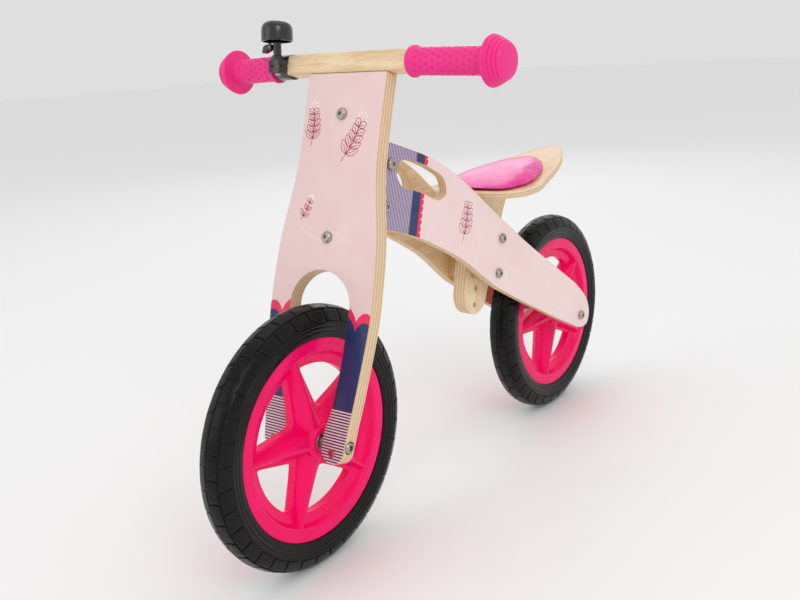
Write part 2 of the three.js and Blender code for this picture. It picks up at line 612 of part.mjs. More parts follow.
// ---- bell ----
function earOutline() {
  const inner = BAR_END_RADIUS + 1;
  return rounded(
    vec2([[CLAMP_HALF, -inner], [CLAMP_HALF, -inner - EAR_REACH], [-CLAMP_HALF, -inner - EAR_REACH],
      [-CLAMP_HALF, -inner]]),
    [0, 4, 4, 0],
    2,
  );
}
function bellParts() {
  const group = new THREE.Group();
  group.position.x = BELL_X + BAR_BEND;
  group.rotation.x = BELL_LEAN;
  const inner = BAR_END_RADIUS + GAP;
  const outer = inner + CLAMP_WALL;
  const ring = cut(
    rodX(outer, -CLAMP_HALF, CLAMP_HALF, 0, 0, 20),
    rodX(inner, -CLAMP_HALF - 1, CLAMP_HALF + 1, 0, 0, 16),
  );
  const half = (low, high) => ring.intersect(box([-30, -30, low], [30, 30, high]));
  const stemY = -BELL_STEM_AHEAD;
  const bar = rodX(inner, -30, 30, 0, 0, 16);
  const lugOutline = vec2([[-10.2, 19.4], [0, 19.4], [0, 24.6], [-10.2, 24.6]]);
  const lug = alongY(rounded(lugOutline, [2.5, 0, 0, 2.5], 2), stemY - 2, stemY + 2);
  const bracket = cut(
    join(
      half(0.8, 30),
      cut(alongZ(earOutline(), 0.8, 7), bar),
      rodZ(BELL_STEM_FOOT, 6, 12, 0, stemY, 16),
      rodZ(BELL_STEM_RADIUS, 5, DOME_BOTTOM + DOME_HEIGHT - DOME_WALL - GAP, 0, stemY, 16),
      lug,
    ),
    rodZ(2 + RUNNING, -1, 10, 0, stemY, 12),
    rodY(1.2 + RUNNING, stemY - 5, stemY + 5, -7.6, 22, 10),
  );
  group.add(named("bell_bracket", bracket, PLASTIC_BLACK));
  const strap = cut(
    join(half(-30, -0.8), cut(alongZ(earOutline(), -7, -0.8), bar)),
    rodZ(2 + RUNNING, -10, 1, 0, stemY, 12),
  );
  group.add(named("bell_strap", strap, PLASTIC_BLACK));
  const screw = join(rodZ(2, -8, 9, 0, stemY, 12), rodZ(3.6, -10, -7 - GAP, 0, stemY, 12));
  group.add(named("bell_clamp_screw", screw, STEEL));
  group.add(bellDome(stemY));
  group.add(bellLever(stemY));
  const pin = rodY(1.2, stemY - 5.4, stemY + 5.4, -7.6, 22, 10);
  group.add(named("bell_lever_pin", pin, STEEL));
  return group;
}
function bellDome(stemY) {
  const inner = DOME_RADIUS - DOME_WALL;
  const high = DOME_HEIGHT;
  const post = BELL_STEM_RADIUS + GAP;
  const ceiling = high - DOME_WALL;
  const profile = [[0, ceiling], [post, ceiling], [post, ceiling - 7], [post + 1.8, ceiling - 7],
    [post + 1.8, ceiling - 0.3], [inner * 0.7, ceiling - 2.4], [inner, ceiling - 10], [inner, 0],
    [DOME_RADIUS, 0], [DOME_RADIUS, high - 12], [DOME_RADIUS * 0.92, high - 6.4],
    [DOME_RADIUS * 0.7, high - 2], [DOME_RADIUS * 0.35, high - 0.3], [0, high]];
  const mesh = named("bell_dome", turnZ(profile, 20), PLASTIC_BLACK);
  return place(mesh, 0, stemY, DOME_BOTTOM);
}
function bellLever(stemY) {
  const cheek = (side) => {
    const near = stemY + side * (2 + GAP);
    const far = stemY + side * (2 + GAP + 2);
    return alongY(
      rounded(vec2([[-11, 18.5], [-5.5, 18.5], [-5.5, 25.5], [-11, 25.5]]), 2.5, 2),
      Math.min(near, far),
      Math.max(near, far),
    );
  };
  const tab = alongY(
    rounded(vec2([[-20.5, 15.5], [-10.6, 19], [-10.6, 25.5], [-18, 23.5]]), [2, 0, 0, 2], 2),
    stemY - 4.3,
    stemY + 4.3,
  );
  const arm = box([-12.6, stemY - 1.6, 23], [-10.8, stemY + 1.6, 36]);
  const knob = rodX(2.4, -13.8, -10.4, stemY, 36.5, 12);
  const body = cut(
    join(cheek(-1), cheek(1), tab, arm, knob),
    rodY(1.2 + RUNNING, stemY - 9, stemY + 9, -7.6, 22, 10),
  );
  return named("bell_lever", body, PLASTIC_BLACK);
}

// ---- frame ----
function panelOutline(pairs, steps) {
  const points = pairs.map(spinePoint);
  const smooth = steps ? new THREE.SplineCurve(points).getPoints(steps) : points;
  return smooth.map((p) => new THREE.Vector2((p.x - HEAD.x) / Math.cos(SPLAY), p.y));
}
// A bolt lies square to the bike, so its hole through a splayed panel is centred at mid thickness.
const panelHole = (radius, at) => {
  const drift = (PANEL_THICKNESS * Math.sin(SPLAY)) / 2;
  return disc(radius, 14, (at.x - HEAD.x) / Math.cos(SPLAY) - drift, at.y).reverse();
};
function headBoltPoint(which) {
  return headPoint(HEAD_MIDDLE + (which * HEAD_BOLT_SPREAD) / 2, HEAD_BOLT_BACK);
}
function panelBody(sign) {
  const slack = RUNNING + (PANEL_THICKNESS * Math.sin(SPLAY)) / 2 + 0.1;
  const nose = [headPoint(HEAD_TOP - 0.8, -HEAD_FRONT), headPoint(HEAD_BOTTOM, -HEAD_FRONT)].map(
    (p) => new THREE.Vector2((p.x - HEAD.x) / Math.cos(SPLAY), p.y),
  );
  const outline = [
    nose[1],
    ...panelOutline(PANEL_BOTTOM, 14).slice(1),
    ...panelOutline(PANEL_TAIL, 12).slice(1),
    ...panelOutline(PANEL_TOP, 14).slice(1),
    nose[0],
  ];
  const handle = new THREE.SplineCurve([...panelOutline(HANDLE_HOLE, 0), panelOutline(HANDLE_HOLE, 0)[0]])
    .getPoints(26)
    .slice(0, -1);
  const holes = [
    handle,
    panelHole(AXLE_RADIUS + slack, new THREE.Vector2(REAR_AXLE.y, REAR_AXLE.z)),
    panelHole(BOLT_RADIUS + slack, POST_BOLT_UPPER),
    panelHole(BOLT_RADIUS + slack, POST_BOLT_LOWER),
    panelHole(BOLT_RADIUS + slack, headBoltPoint(1)),
    panelHole(BOLT_RADIUS + slack, headBoltPoint(-1)),
  ];
  const from = sign > 0 ? -PANEL_THICKNESS : 0;
  return alongX(outline, from, from + PANEL_THICKNESS, holes);
}
function panel(name, sign) {
  const mesh = named(name, panelBody(sign), PALE_PLY);
  mesh.position.set(sign * HEAD_OUTER_HALF, HEAD.x, 0);
  mesh.rotation.z = -sign * SPLAY;
  return mesh;
}
// Everything outside a panel's inner face, less a gap, on both sides.
function outsidePanels() {
  const skin = PANEL_THICKNESS / Math.cos(SPLAY) + GAP;
  const far = 400;
  const edge = (y) => outerHalfAt(y) - skin;
  const left = vec2([[edge(-400), -400], [far, -400], [far, 400], [edge(400), 400]]);
  const right = vec2([[-edge(-400), -400], [-edge(400), 400], [-far, 400], [-far, -400]]);
  return alongZ(left, -50, 900).add(alongZ(right, -50, 900));
}
function headParts(outside) {
  const group = new THREE.Group();
  const corners = [
    headPoint(HEAD_BOTTOM, -HEAD_FRONT + 2),
    headPoint(HEAD_BOTTOM, HEAD_REAR),
    headPoint(HEAD_TOP, HEAD_REAR),
    headPoint(HEAD_TOP, -HEAD_FRONT + 2),
  ];
  const back = THREE.MathUtils.radToDeg(-RAKE);
  const toBike = (body) => body.rotate([back, 0, 0]).translate(FRONT_AXLE.toArray());
  const bore = toBike(rodZ(BUSHING_RADIUS + GAP, HEAD_BOTTOM - 5, HEAD_TOP + 5, 0, STEER_SETBACK, 20));
  const boltHoles = [1, -1].map((k) =>
    rodX(BOLT_RADIUS + RUNNING, -60, 60, headBoltPoint(k).x, headBoltPoint(k).y, 12),
  );
  const block = cut(alongX(corners, -60, 60), outside, bore, ...boltHoles);
  group.add(named("head_block", block, WOOD));
  const bushing = (low) => {
    const sleeve = low
      ? [HEAD_BOTTOM - GAP - 1, HEAD_BOTTOM + BUSHING_LENGTH]
      : [HEAD_TOP - BUSHING_LENGTH, HEAD_TOP + GAP + 1];
    const rim = low
      ? [HEAD_BOTTOM - GAP - FLANGE_THICKNESS, HEAD_BOTTOM - GAP]
      : [HEAD_TOP + GAP, HEAD_TOP + GAP + FLANGE_THICKNESS];
    return toBike(
      cut(
        join(
          rodZ(BUSHING_RADIUS, sleeve[0], sleeve[1], 0, STEER_SETBACK, 20),
          rodZ(FLANGE_RADIUS, rim[0], rim[1], 0, STEER_SETBACK, 24),
        ),
        rodZ(PIN_RADIUS + RUNNING, 0, 900, 0, STEER_SETBACK, 20),
      ),
    );
  };
  group.add(named("head_bushing_lower", bushing(true), NYLON));
  group.add(named("head_bushing_upper", bushing(false), NYLON));
  addThroughBolt(group, "head_bolt_upper", headBoltPoint(1));
  addThroughBolt(group, "head_bolt_lower", headBoltPoint(-1));
  return group;
}
// A bolt across the whole frame at (y, z), its head on the left panel and a cap nut on the right one.
function addThroughBolt(group, name, at, shank = BOLT_RADIUS, head = BOLT_HEAD_RADIUS) {
  const rest = outerHalfAt(at.x) + GAP + head * Math.tan(SPLAY);
  const shaft = bolt(shank, 2 * rest + BOLT_HEAD_HEIGHT * 0.25, head, BOLT_HEAD_HEIGHT);
  group.add(place(named(name, shaft, STEEL), rest, at.x, at.y));
  const nut = capNut(shank, head, BOLT_HEAD_HEIGHT);
  group.add(place(named(name + "_nut", nut, STEEL), -rest, at.x, at.y, Math.PI));
}
function rearAxleParts() {
  const group = new THREE.Group();
  const at = new THREE.Vector2(REAR_AXLE.y, REAR_AXLE.z);
  addThroughBolt(group, "rear_axle", at, AXLE_RADIUS);
  const from = HUB_HALF + GAP;
  const inner = outerHalfAt(at.x) - PANEL_THICKNESS / Math.cos(SPLAY);
  const to = inner - GAP - 8 * Math.tan(SPLAY);
  const tube = cut(rodX(8, from, to, 0, 0, 20), rodX(AXLE_RADIUS + RUNNING, 0, 90, 0, 0, 16));
  for (const [side, sign] of [["left", 1], ["right", -1]]) {
    const mesh = named("rear_spacer_" + side, tube, STEEL);
    group.add(place(mesh, 0, at.x, at.y, sign > 0 ? 0 : Math.PI));
  }
  return group;
}

// ---- seat ----
const along = POST_BOLT_UPPER.clone().sub(POST_BOLT_LOWER).normalize(); // up the post
const across = new THREE.Vector2(along.y, -along.x); // toward the rear
function postPoint(up, back) {
  return POST_BOLT_LOWER.clone().addScaledVector(along, up).addScaledVector(across, back);
}
// Top line of the seat shell: height over its lowest line, at a distance behind it.
const SEAT_RISE = [[-70, 1.6], [-45, 0.8], [-20, 0.1], [0, 0], [20, 0.5], [40, 2], [60, 5],
  [85, 9.5], [112, 15], [140, 20.5], [165, 25], [205, 31]];
function seatTop(y) {
  const d = y - SEAT_BASE.x;
  for (let i = 1; i < SEAT_RISE.length; i++) {
    const [a, za] = SEAT_RISE[i - 1];
    const [b, zb] = SEAT_RISE[i];
    if (d <= b || i === SEAT_RISE.length - 1) return SEAT_BASE.y + za + ((zb - za) * (d - a)) / (b - a);
  }
}
// Half outlines: distance behind the lowest line as a share of the seat's length, share of the half width.
const SEAT_PLAN = [[-0.239, 0], [-0.235, 0.4], [-0.22, 0.64], [-0.197, 0.8], [-0.159, 0.92], [-0.11, 0.987],
  [-0.05, 1], [0.02, 0.993], [0.1, 0.94], [0.174, 0.867], [0.265, 0.8], [0.345, 0.75], [0.432, 0.675],
  [0.523, 0.56], [0.61, 0.413], [0.686, 0.267], [0.739, 0.12], [0.761, 0]];
const PAD_PLAN = [[-0.227, 0], [-0.2235, 0.4], [-0.216, 0.645], [-0.197, 0.81], [-0.155, 0.935],
  [-0.095, 0.99], [0, 1], [0.076, 0.985], [0.189, 0.887], [0.303, 0.742], [0.398, 0.532], [0.458, 0.29],
  [0.477, 0.13], [0.483, 0]];
function planOutline(plan, halfWidth) {
  const points = plan.map(([s, w]) => [w * halfWidth, SEAT_BASE.x + s * SEAT_LENGTH]);
  return [...points, ...points.slice(1, -1).reverse().map(([x, y]) => [-x, y])];
}
function seatShellBody() {
  const from = SEAT_BASE.x - SEAT_LENGTH * 0.25;
  const to = SEAT_BASE.x + SEAT_LENGTH * 0.78;
  const stations = SEAT_RISE.map(([d]) => SEAT_BASE.x + d).filter((y) => y > from + 2 && y < to - 2);
  const line = [from, ...stations, to];
  const top = line.map((y) => new THREE.Vector2(y, seatTop(y)));
  const bottom = line.map((y) => new THREE.Vector2(y, seatTop(y) - SEAT_SHELL_THICKNESS)).reverse();
  const band = alongX([...top, ...bottom], -SEAT_HALF_WIDTH - 5, SEAT_HALF_WIDTH + 5);
  const plan = alongZ(vec2(planOutline(SEAT_PLAN, SEAT_HALF_WIDTH)), SEAT_BASE.y - 60, SEAT_BASE.y + 90);
  const holes = seatScrewPlaces().map((y) =>
    join(
      rodZ(1.9 + RUNNING, SEAT_BASE.y - 40, SEAT_BASE.y + 40, 0, y, 10),
      rodZ(4.2 + RUNNING, seatTop(y) - 3.2, SEAT_BASE.y + 60, 0, y, 14),
    ),
  );
  return cut(band.intersect(plan), ...holes);
}
function seatScrewPlaces() {
  return [-38, -8, 22].map((d) => SEAT_BASE.x + d);
}
function padBody() {
  const base = vec2(planOutline(PAD_PLAN, PAD_HALF_WIDTH));
  const centre = new THREE.Vector2(0, SEAT_BASE.x + SEAT_LENGTH * 0.15);
  const slump = (y) => {
    const share = (y - centre.y) / (SEAT_LENGTH * 0.36);
    return 1 - (share > 0 ? 0.3 : 0.72) * Math.min(Math.abs(share), 1);
  };
  const ring = (share, height) =>
    base.map((p) => {
      const x = centre.x + (p.x - centre.x) * share;
      const y = centre.y + (p.y - centre.y) * share;
      return new THREE.Vector3(x, y, seatTop(y) + 0.5 + height * PAD_HEIGHT * slump(y));
    });
  return loft([
    ring(0.4, 0),
    ring(0.97, 0),
    ring(1, 0.16),
    ring(0.96, 0.52),
    ring(0.8, 0.84),
    ring(0.45, 1),
  ]);
}
function postBody() {
  const roof = SEAT_BASE.y - SEAT_SHELL_THICKNESS - GAP;
  const end = postPoint(-2.6 * POST_HOLE_PITCH / 2 - 0.3, 0.4);
  const angle = THREE.MathUtils.radToDeg(Math.atan2(along.y, along.x)) - 90;
  const foot = arc(end.x, end.y, POST_END_RADIUS, angle + 180, angle + 360, 12);
  const line = [-50, -20, 0, 20, 40].map((d) => SEAT_BASE.x + d);
  const under = (y) => new THREE.Vector2(y, seatTop(y) - SEAT_SHELL_THICKNESS - GAP);
  const outline = [
    ...foot,
    new THREE.Vector2(SEAT_BASE.x + 24, roof - 35),
    new THREE.Vector2(SEAT_BASE.x + 40, roof - 8),
    ...line.slice().reverse().map(under),
  ];
  const spare = [1, -1, -2].map((k) => postPoint(k * POST_HOLE_PITCH, 0));
  const holes = [POST_BOLT_LOWER, POST_BOLT_UPPER, ...spare].map((p) =>
    disc(BOLT_RADIUS + RUNNING, 12, p.x, p.y).reverse(),
  );
  const body = alongX(outline, -POST_THICKNESS / 2, POST_THICKNESS / 2, holes);
  const floor = SEAT_BASE.y - 38;
  const bores = seatScrewPlaces().map((y) => rodZ(1.9 + RUNNING, floor, floor + 47, 0, y, 10));
  return cut(body, ...bores);
}
function spacerBlock(sign, outside) {
  const outline = [[-10, -14], [-10, 14], [56, 14], [56, -14]].map(([up, back]) => postPoint(up, back));
  const near = POST_THICKNESS / 2 + GAP;
  const slab = sign > 0 ? alongX(outline, near, 80) : alongX(outline, -80, -near);
  const bore = BOLT_RADIUS + RUNNING;
  const holes = [POST_BOLT_UPPER, POST_BOLT_LOWER].map((p) => rodX(bore, -90, 90, p.x, p.y, 12));
  return cut(slab, outside, ...holes);
}
function seatParts(outside) {
  const group = new THREE.Group();
  group.add(named("seat_post", postBody(), WOOD));
  group.add(named("seat_shell", seatShellBody(), WOOD));
  group.add(named("seat_pad", padBody(), PAD_PINK));
  group.add(named("post_spacer_left", spacerBlock(1, outside), WOOD));
  group.add(named("post_spacer_right", spacerBlock(-1, outside), WOOD));
  addThroughBolt(group, "post_bolt_upper", POST_BOLT_UPPER);
  addThroughBolt(group, "post_bolt_lower", POST_BOLT_LOWER);
  seatScrewPlaces().forEach((y, i) => {
    const floor = seatTop(y) - 3.2 + GAP;
    const screw = cut(
      join(rodZ(1.9, floor - 30, floor + 1, 0, y, 10), rodZ(4.2, floor, floor + 2.4, 0, y, 14)),
      rodZ(1.5, floor + 1, floor + 5, 0, y, 6),
    );
    group.add(named("seat_screw_" + (i + 1), screw, STEEL));
  });
  return group;
}

// ---- assembly ----
const group = new THREE.Group();
group.name = "balance_bike";
const outside = outsidePanels();

const fork = new THREE.Group();
fork.position.copy(FRONT_AXLE);
fork.rotation.x = -RAKE;
fork.add(named("fork_board", boardBody(), PINK_PLY));
fork.add(steeringParts());
fork.add(frontAxleParts());
fork.add(place(named("handlebar", handlebarBody(), WOOD), 0, 0, BAR_AXIS));
const leftEnd = barEnd(1);
const gripLeft = named("grip_left", gripBody(LEFT_GRIP_START), GRIP_PINK);
leftEnd.add(place(gripLeft, LEFT_GRIP_START - BAR_BEND, 0, 0));
fork.add(leftEnd);
const rightEnd = barEnd(-1);
const gripRight = named("grip_right", gripBody(RIGHT_GRIP_START), GRIP_PINK);
rightEnd.add(place(gripRight, BAR_BEND - RIGHT_GRIP_START, 0, 0, Math.PI));
rightEnd.add(bellParts());
fork.add(rightEnd);
group.add(fork);

group.add(wheel("front", FRONT_AXLE, FRONT_WHEEL_TURN));
group.add(wheel("rear", REAR_AXLE, REAR_WHEEL_TURN));
group.add(panel("frame_panel_left", 1));
group.add(panel("frame_panel_right", -1));
group.add(headParts(outside));
group.add(rearAxleParts());
group.add(seatParts(outside));

export default group;
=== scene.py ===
import json
from functools import partialmethod
from math import atan2, copysign, cos, degrees, hypot, pi, radians, sin, tan

import bmesh
import bpy
from mathutils import Matrix, Vector

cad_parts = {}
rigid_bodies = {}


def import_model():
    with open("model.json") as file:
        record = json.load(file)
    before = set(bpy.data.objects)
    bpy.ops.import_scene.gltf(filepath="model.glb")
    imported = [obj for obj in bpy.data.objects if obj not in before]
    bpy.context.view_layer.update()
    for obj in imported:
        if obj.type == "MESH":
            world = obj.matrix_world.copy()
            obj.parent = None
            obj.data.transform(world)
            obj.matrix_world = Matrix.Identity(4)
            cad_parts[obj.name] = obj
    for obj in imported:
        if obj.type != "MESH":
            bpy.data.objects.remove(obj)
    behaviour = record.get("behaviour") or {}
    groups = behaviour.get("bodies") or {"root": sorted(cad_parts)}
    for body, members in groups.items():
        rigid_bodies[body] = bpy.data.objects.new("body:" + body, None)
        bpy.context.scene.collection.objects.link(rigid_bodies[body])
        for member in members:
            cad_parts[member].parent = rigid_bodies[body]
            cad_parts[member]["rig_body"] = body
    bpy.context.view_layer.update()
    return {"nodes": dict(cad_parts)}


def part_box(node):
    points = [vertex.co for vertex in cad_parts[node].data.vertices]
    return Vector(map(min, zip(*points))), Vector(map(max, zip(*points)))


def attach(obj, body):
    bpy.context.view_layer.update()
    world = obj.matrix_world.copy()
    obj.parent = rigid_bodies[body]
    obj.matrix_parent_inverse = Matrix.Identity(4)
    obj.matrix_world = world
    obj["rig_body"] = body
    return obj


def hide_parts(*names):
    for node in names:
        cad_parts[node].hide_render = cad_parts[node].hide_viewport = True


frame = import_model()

MM = 0.001
SCENE = bpy.context.scene
SIDES = (("left", 1), ("right", -1))

# ---- sizes shared with the CAD, in millimetres ----
RAKE = radians(17.4)
COS, SIN = cos(RAKE), sin(RAKE)
TYRE_RADIUS = 148.0
AXLE_Y, AXLE_Z = 272.5, TYRE_RADIUS
LOWER_BOLT, UPPER_BOLT, BOARD_TOP = 219.2, 352.9, 397.9
HEAD_BOTTOM, HEAD_TOP = 236.8, 335.3
STEER_SETBACK = 39.0
NOSE_HALF, TAIL_HALF = 23.9, 58.0
BOARD_HALF, PANEL_HALF, POST_HALF = 9.0, 6.0, 9.0
BAR_AXIS = 409.5
BAR_BEND, BAR_RADIUS, BAR_REACH = 70.0, 10.8, 195.5
DROOP = radians(2)


def head_point(up, behind=0.0):
    """(y, z) of a point up the steering axis, at a distance behind it."""
    back = STEER_SETBACK + behind
    return (-AXLE_Y + back * COS + up * SIN, AXLE_Z - back * SIN + up * COS)


HEAD_Y, HEAD_Z = head_point((HEAD_BOTTOM + HEAD_TOP) / 2)
SPLAY = atan2(TAIL_HALF - NOSE_HALF, AXLE_Y - HEAD_Y)
SPINE = Vector((AXLE_Y - HEAD_Y, AXLE_Z - HEAD_Z))
SPINE_NORMAL = Vector((-SPINE.y, SPINE.x)).normalized()


def spine_point(share, rise):
    """(y, z) at a share of the line from the head to the rear axle, raised square to it."""
    return Vector((HEAD_Y, HEAD_Z)) + SPINE * share + SPINE_NORMAL * rise


POST_UPPER = spine_point(0.5014, 29.6)
POST_LOWER = spine_point(0.5314, -13.9)
POST_HOLE_PITCH, POST_WIDTH = 22.9, 57.0
SEAT_Y, SEAT_Z = POST_UPPER.x + 34, POST_UPPER.y + 63


# ---- frames: columns are the local axes, the last one the origin in mm ----
def axes(x, y, z, origin):
    m = Matrix.Identity(4)
    for column, v in enumerate((x, y, z, Vector(origin) * MM)):
        for row in range(3):
            m[row][column] = v[row]
    return m


def shift(x=0.0, y=0.0, z=0.0):
    """A move by distances in mm."""
    return Matrix.Translation((x * MM, y * MM, z * MM))


FORK = axes((1, 0, 0), (0, COS, -SIN), (0, SIN, COS), (0, -AXLE_Y, AXLE_Z))
FORK_PLATE = axes((1, 0, 0), (0, SIN, COS), (0, -COS, SIN), (0, -AXLE_Y, AXLE_Z))
SIDE_PLATE = axes((0, 1, 0), (0, 0, 1), (1, 0, 0), (0, 0, 0))
FRONT_WHEEL = shift(0, -AXLE_Y, AXLE_Z)
REAR_WHEEL = shift(0, AXLE_Y, AXLE_Z)


def panel_matrix(sign):
    """Frame on a side panel's outer face: x to the rear, y up, z out to +X on both sides."""
    return shift(sign * NOSE_HALF, HEAD_Y) @ Matrix.Rotation(-sign * SPLAY, 4, "Z") @ SIDE_PLATE


def fork_at(x, y, s):
    """Fork frame moved to a point given in it."""
    return FORK @ shift(x, y, s)


def aim(matrix, axis):
    """Turns a frame so that its x axis runs along one of its own axes."""
    angle, about = {"+x": (0, "Z"), "-x": (180, "Z"), "+y": (90, "Z"), "-y": (-90, "Z"), "+z": (-90, "Y"),
                    "-z": (90, "Y")}[axis]
    return matrix @ Matrix.Rotation(radians(angle), 4, about)


# ---- mesh building ----
def linked(name, data):
    obj = bpy.data.objects.new(name, data)
    SCENE.collection.objects.link(obj)
    return obj


def smooth(mesh, sharp=35):
    """Smooth shading, kept sharp where faces meet at more than an angle in degrees."""
    mesh.shade_smooth()
    mesh.set_sharp_from_angle(angle=radians(sharp))


def add(name, mesh, matrix=None, sharp=35):
    smooth(mesh, sharp)
    obj = linked(name, mesh)
    obj.matrix_world = matrix if matrix is not None else Matrix.Identity(4)
    return obj


def outward(mesh, merge=0.0):
    """Turns the faces outward, joining points that lie within a distance first."""
    bm = bmesh.new()
    bm.from_mesh(mesh)
    if merge:
        bmesh.ops.remove_doubles(bm, verts=bm.verts, dist=merge)
    bmesh.ops.recalc_face_normals(bm, faces=bm.faces)
    bm.to_mesh(mesh)
    bm.free()


def evaluated(obj):
    bpy.context.view_layer.update()
    return bpy.data.meshes.new_from_object(obj.evaluated_get(bpy.context.evaluated_depsgraph_get()))


def fixed(obj):
    """Puts the outcome of a piece's modifiers into its mesh."""
    mesh = evaluated(obj)
    obj.modifiers.clear()
    obj.data = mesh
    return mesh


def shape(name, pieces, matrix=None, sharp=35):
    """One object from several (vertices, faces) lists in mm."""
    verts, faces = [], []
    for v, f in pieces:
        base = len(verts)
        verts += [tuple(c * MM for c in p) for p in v]
        faces += [tuple(base + i for i in face) for face in f]
    mesh = bpy.data.meshes.new(name)
    mesh.from_pydata(verts, [], faces)
    outward(mesh)
    return add(name, mesh, matrix, sharp)


def loft(rings, closed=False):
    """Skin over rings of equally many points, capped at both ends or joined end to end."""
    n = len(rings[0])
    verts = [p for ring in rings for p in ring]
    faces = []
    for k in range(len(rings) - (0 if closed else 1)):
        a, b = k * n, ((k + 1) % len(rings)) * n
        faces += [(a + i, a + (i + 1) % n, b + (i + 1) % n, b + i) for i in range(n)]
    if not closed:
        faces += [tuple(range(n)), tuple(range(len(verts) - n, len(verts)))]
    return verts, faces


def both_ends(half):
    """A profile followed by its mirror image."""
    return [*half, *[(-a, b) for a, b in reversed(half)]]


def soften(points, radius, closed=True, steps=3, least=0.35):
    """Rounds the corners of an outline that turn by more than `least` radians."""
    out = []
    count = len(points)
    for i, p in enumerate(points):
        p = Vector(p)
        if not closed and i in (0, count - 1):
            out.append(tuple(p))
            continue
        before, after = Vector(points[i - 1]) - p, Vector(points[(i + 1) % count]) - p
        if before.length < 1e-6 or after.length < 1e-6 or (-before).angle(after) < least:
            out.append(tuple(p))
            continue
        start = p + before.normalized() * min(radius, before.length * 0.45)
        end = p + after.normalized() * min(radius, after.length * 0.45)
        for k in range(steps + 1):
            t = k / steps
            out.append(tuple(start * (1 - t) ** 2 + p * 2 * t * (1 - t) + end * t * t))
    return out


def spline(pairs, per=6):
    """The CAD's own curve through the points, sampled finer."""
    pts = [Vector(p) for p in pairs]
    out = []
    for i in range(len(pts) - 1):
        p0, p1, p2 = pts[max(i - 1, 0)], pts[i], pts[i + 1]
        p3 = pts[min(i + 2, len(pts) - 1)]
        v0, v1 = (p2 - p0) / 2, (p3 - p1) / 2
        for k in range(per):
            t = k / per
            q = (2 * p1 - 2 * p2 + v0 + v1) * t**3 + (3 * p2 - 3 * p1 - 2 * v0 - v1) * t * t + v0 * t + p1
            out.append(tuple(q))
    out.append(tuple(pts[-1]))
    return out


def arc(cx, cy, radius, start, end, steps):
    angles = [radians(start + (end - start) * i / steps) for i in range(steps + 1)]
    return [(cx + radius * cos(a), cy + radius * sin(a)) for a in angles]


def ring_at(a, radius, steps, lift=None):
    """Circle of points round the local x axis; lift(angle, a) adds to the radius."""
    out = []
    for i in range(steps):
        t = 2 * pi * i / steps
        r = radius + (lift(t, a) if lift else 0)
        out.append((a, r * cos(t), r * sin(t)))
    return out


def turned(profile, steps=64, closed=False, lift=None):
    """Solid of revolution about the local x axis from (x, radius) pairs."""
    return loft([ring_at(a, r, steps, lift) for a, r in profile], closed)


def swept(profile, start, end, steps=24):
    """Part of a turn of a closed (x, radius) profile, capped at both ends."""
    rings = []
    for i in range(steps + 1):
        t = radians(start + (end - start) * i / steps)
        rings.append([(a, r * cos(t), r * sin(t)) for a, r in profile])
    return loft(rings)


def plate(name, outline, holes, half, matrix, bevel=0.8, recesses=()):
    """A flat board with rounded edges, of twice the half thickness; recesses are cut out of it."""
    curve = bpy.data.curves.new(name, "CURVE")
    curve.dimensions = "2D"
    curve.fill_mode = "BOTH"
    curve.extrude = (half - bevel) * MM
    curve.bevel_depth = bevel * MM
    curve.bevel_resolution = 2
    curve.offset = -bevel * MM
    for loop in [outline, *holes]:
        line = curve.splines.new("POLY")
        line.points.add(len(loop) - 1)
        for point, (a, b) in zip(line.points, loop):
            point.co = (a * MM, b * MM, 0, 1)
        line.use_cyclic_u = True
    temp = linked(name + "_curve", curve)
    mesh = evaluated(temp)
    bpy.data.objects.remove(temp)
    outward(mesh, 0.01 * MM)
    mesh.name = name
    obj = add(name, mesh, matrix)
    for cutter in recesses:
        tool = shape(name + "_tool", [cutter], matrix)
        cut = obj.modifiers.new("cut", "BOOLEAN")
        cut.object = tool
        fixed(obj)
        bpy.data.objects.remove(tool)
    smooth(obj.data)
    return obj


def rounded(obj, width, segments, angle):
    bevel = obj.modifiers.new("edges", "BEVEL")
    bevel.width = width * MM
    bevel.segments = segments
    bevel.limit_method = "ANGLE"
    bevel.angle_limit = radians(angle)
    return bevel


def dress(obj, *materials):
    """Gives a piece its materials; three of them go to a plate's front, back and edge."""
    obj.data.materials.clear()
    for m in materials:
        obj.data.materials.append(m)
    if len(materials) == 3:
        for face in obj.data.polygons:
            face.material_index = 0 if face.normal.z > 0.8 else 1 if face.normal.z < -0.8 else 2
    return obj


def settle(obj):
    """Puts a piece's frame into its mesh, so that its own box is the row frame's."""
    obj.data.transform(obj.matrix_world)
    obj.matrix_world = Matrix.Identity(4)
    return obj


def stand_in(obj, node):
    """The piece rides on its CAD node's body and takes the node's place."""
    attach(obj, frame["nodes"][node]["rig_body"])
    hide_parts(node)
    return obj


# ---- materials ----
def rgb(r, g, b):
    def linear(c):
        c /= 255
        return c / 12.92 if c <= 0.04045 else ((c + 0.055) / 1.055) ** 2.4
    return (linear(r), linear(g), linear(b), 1.0)


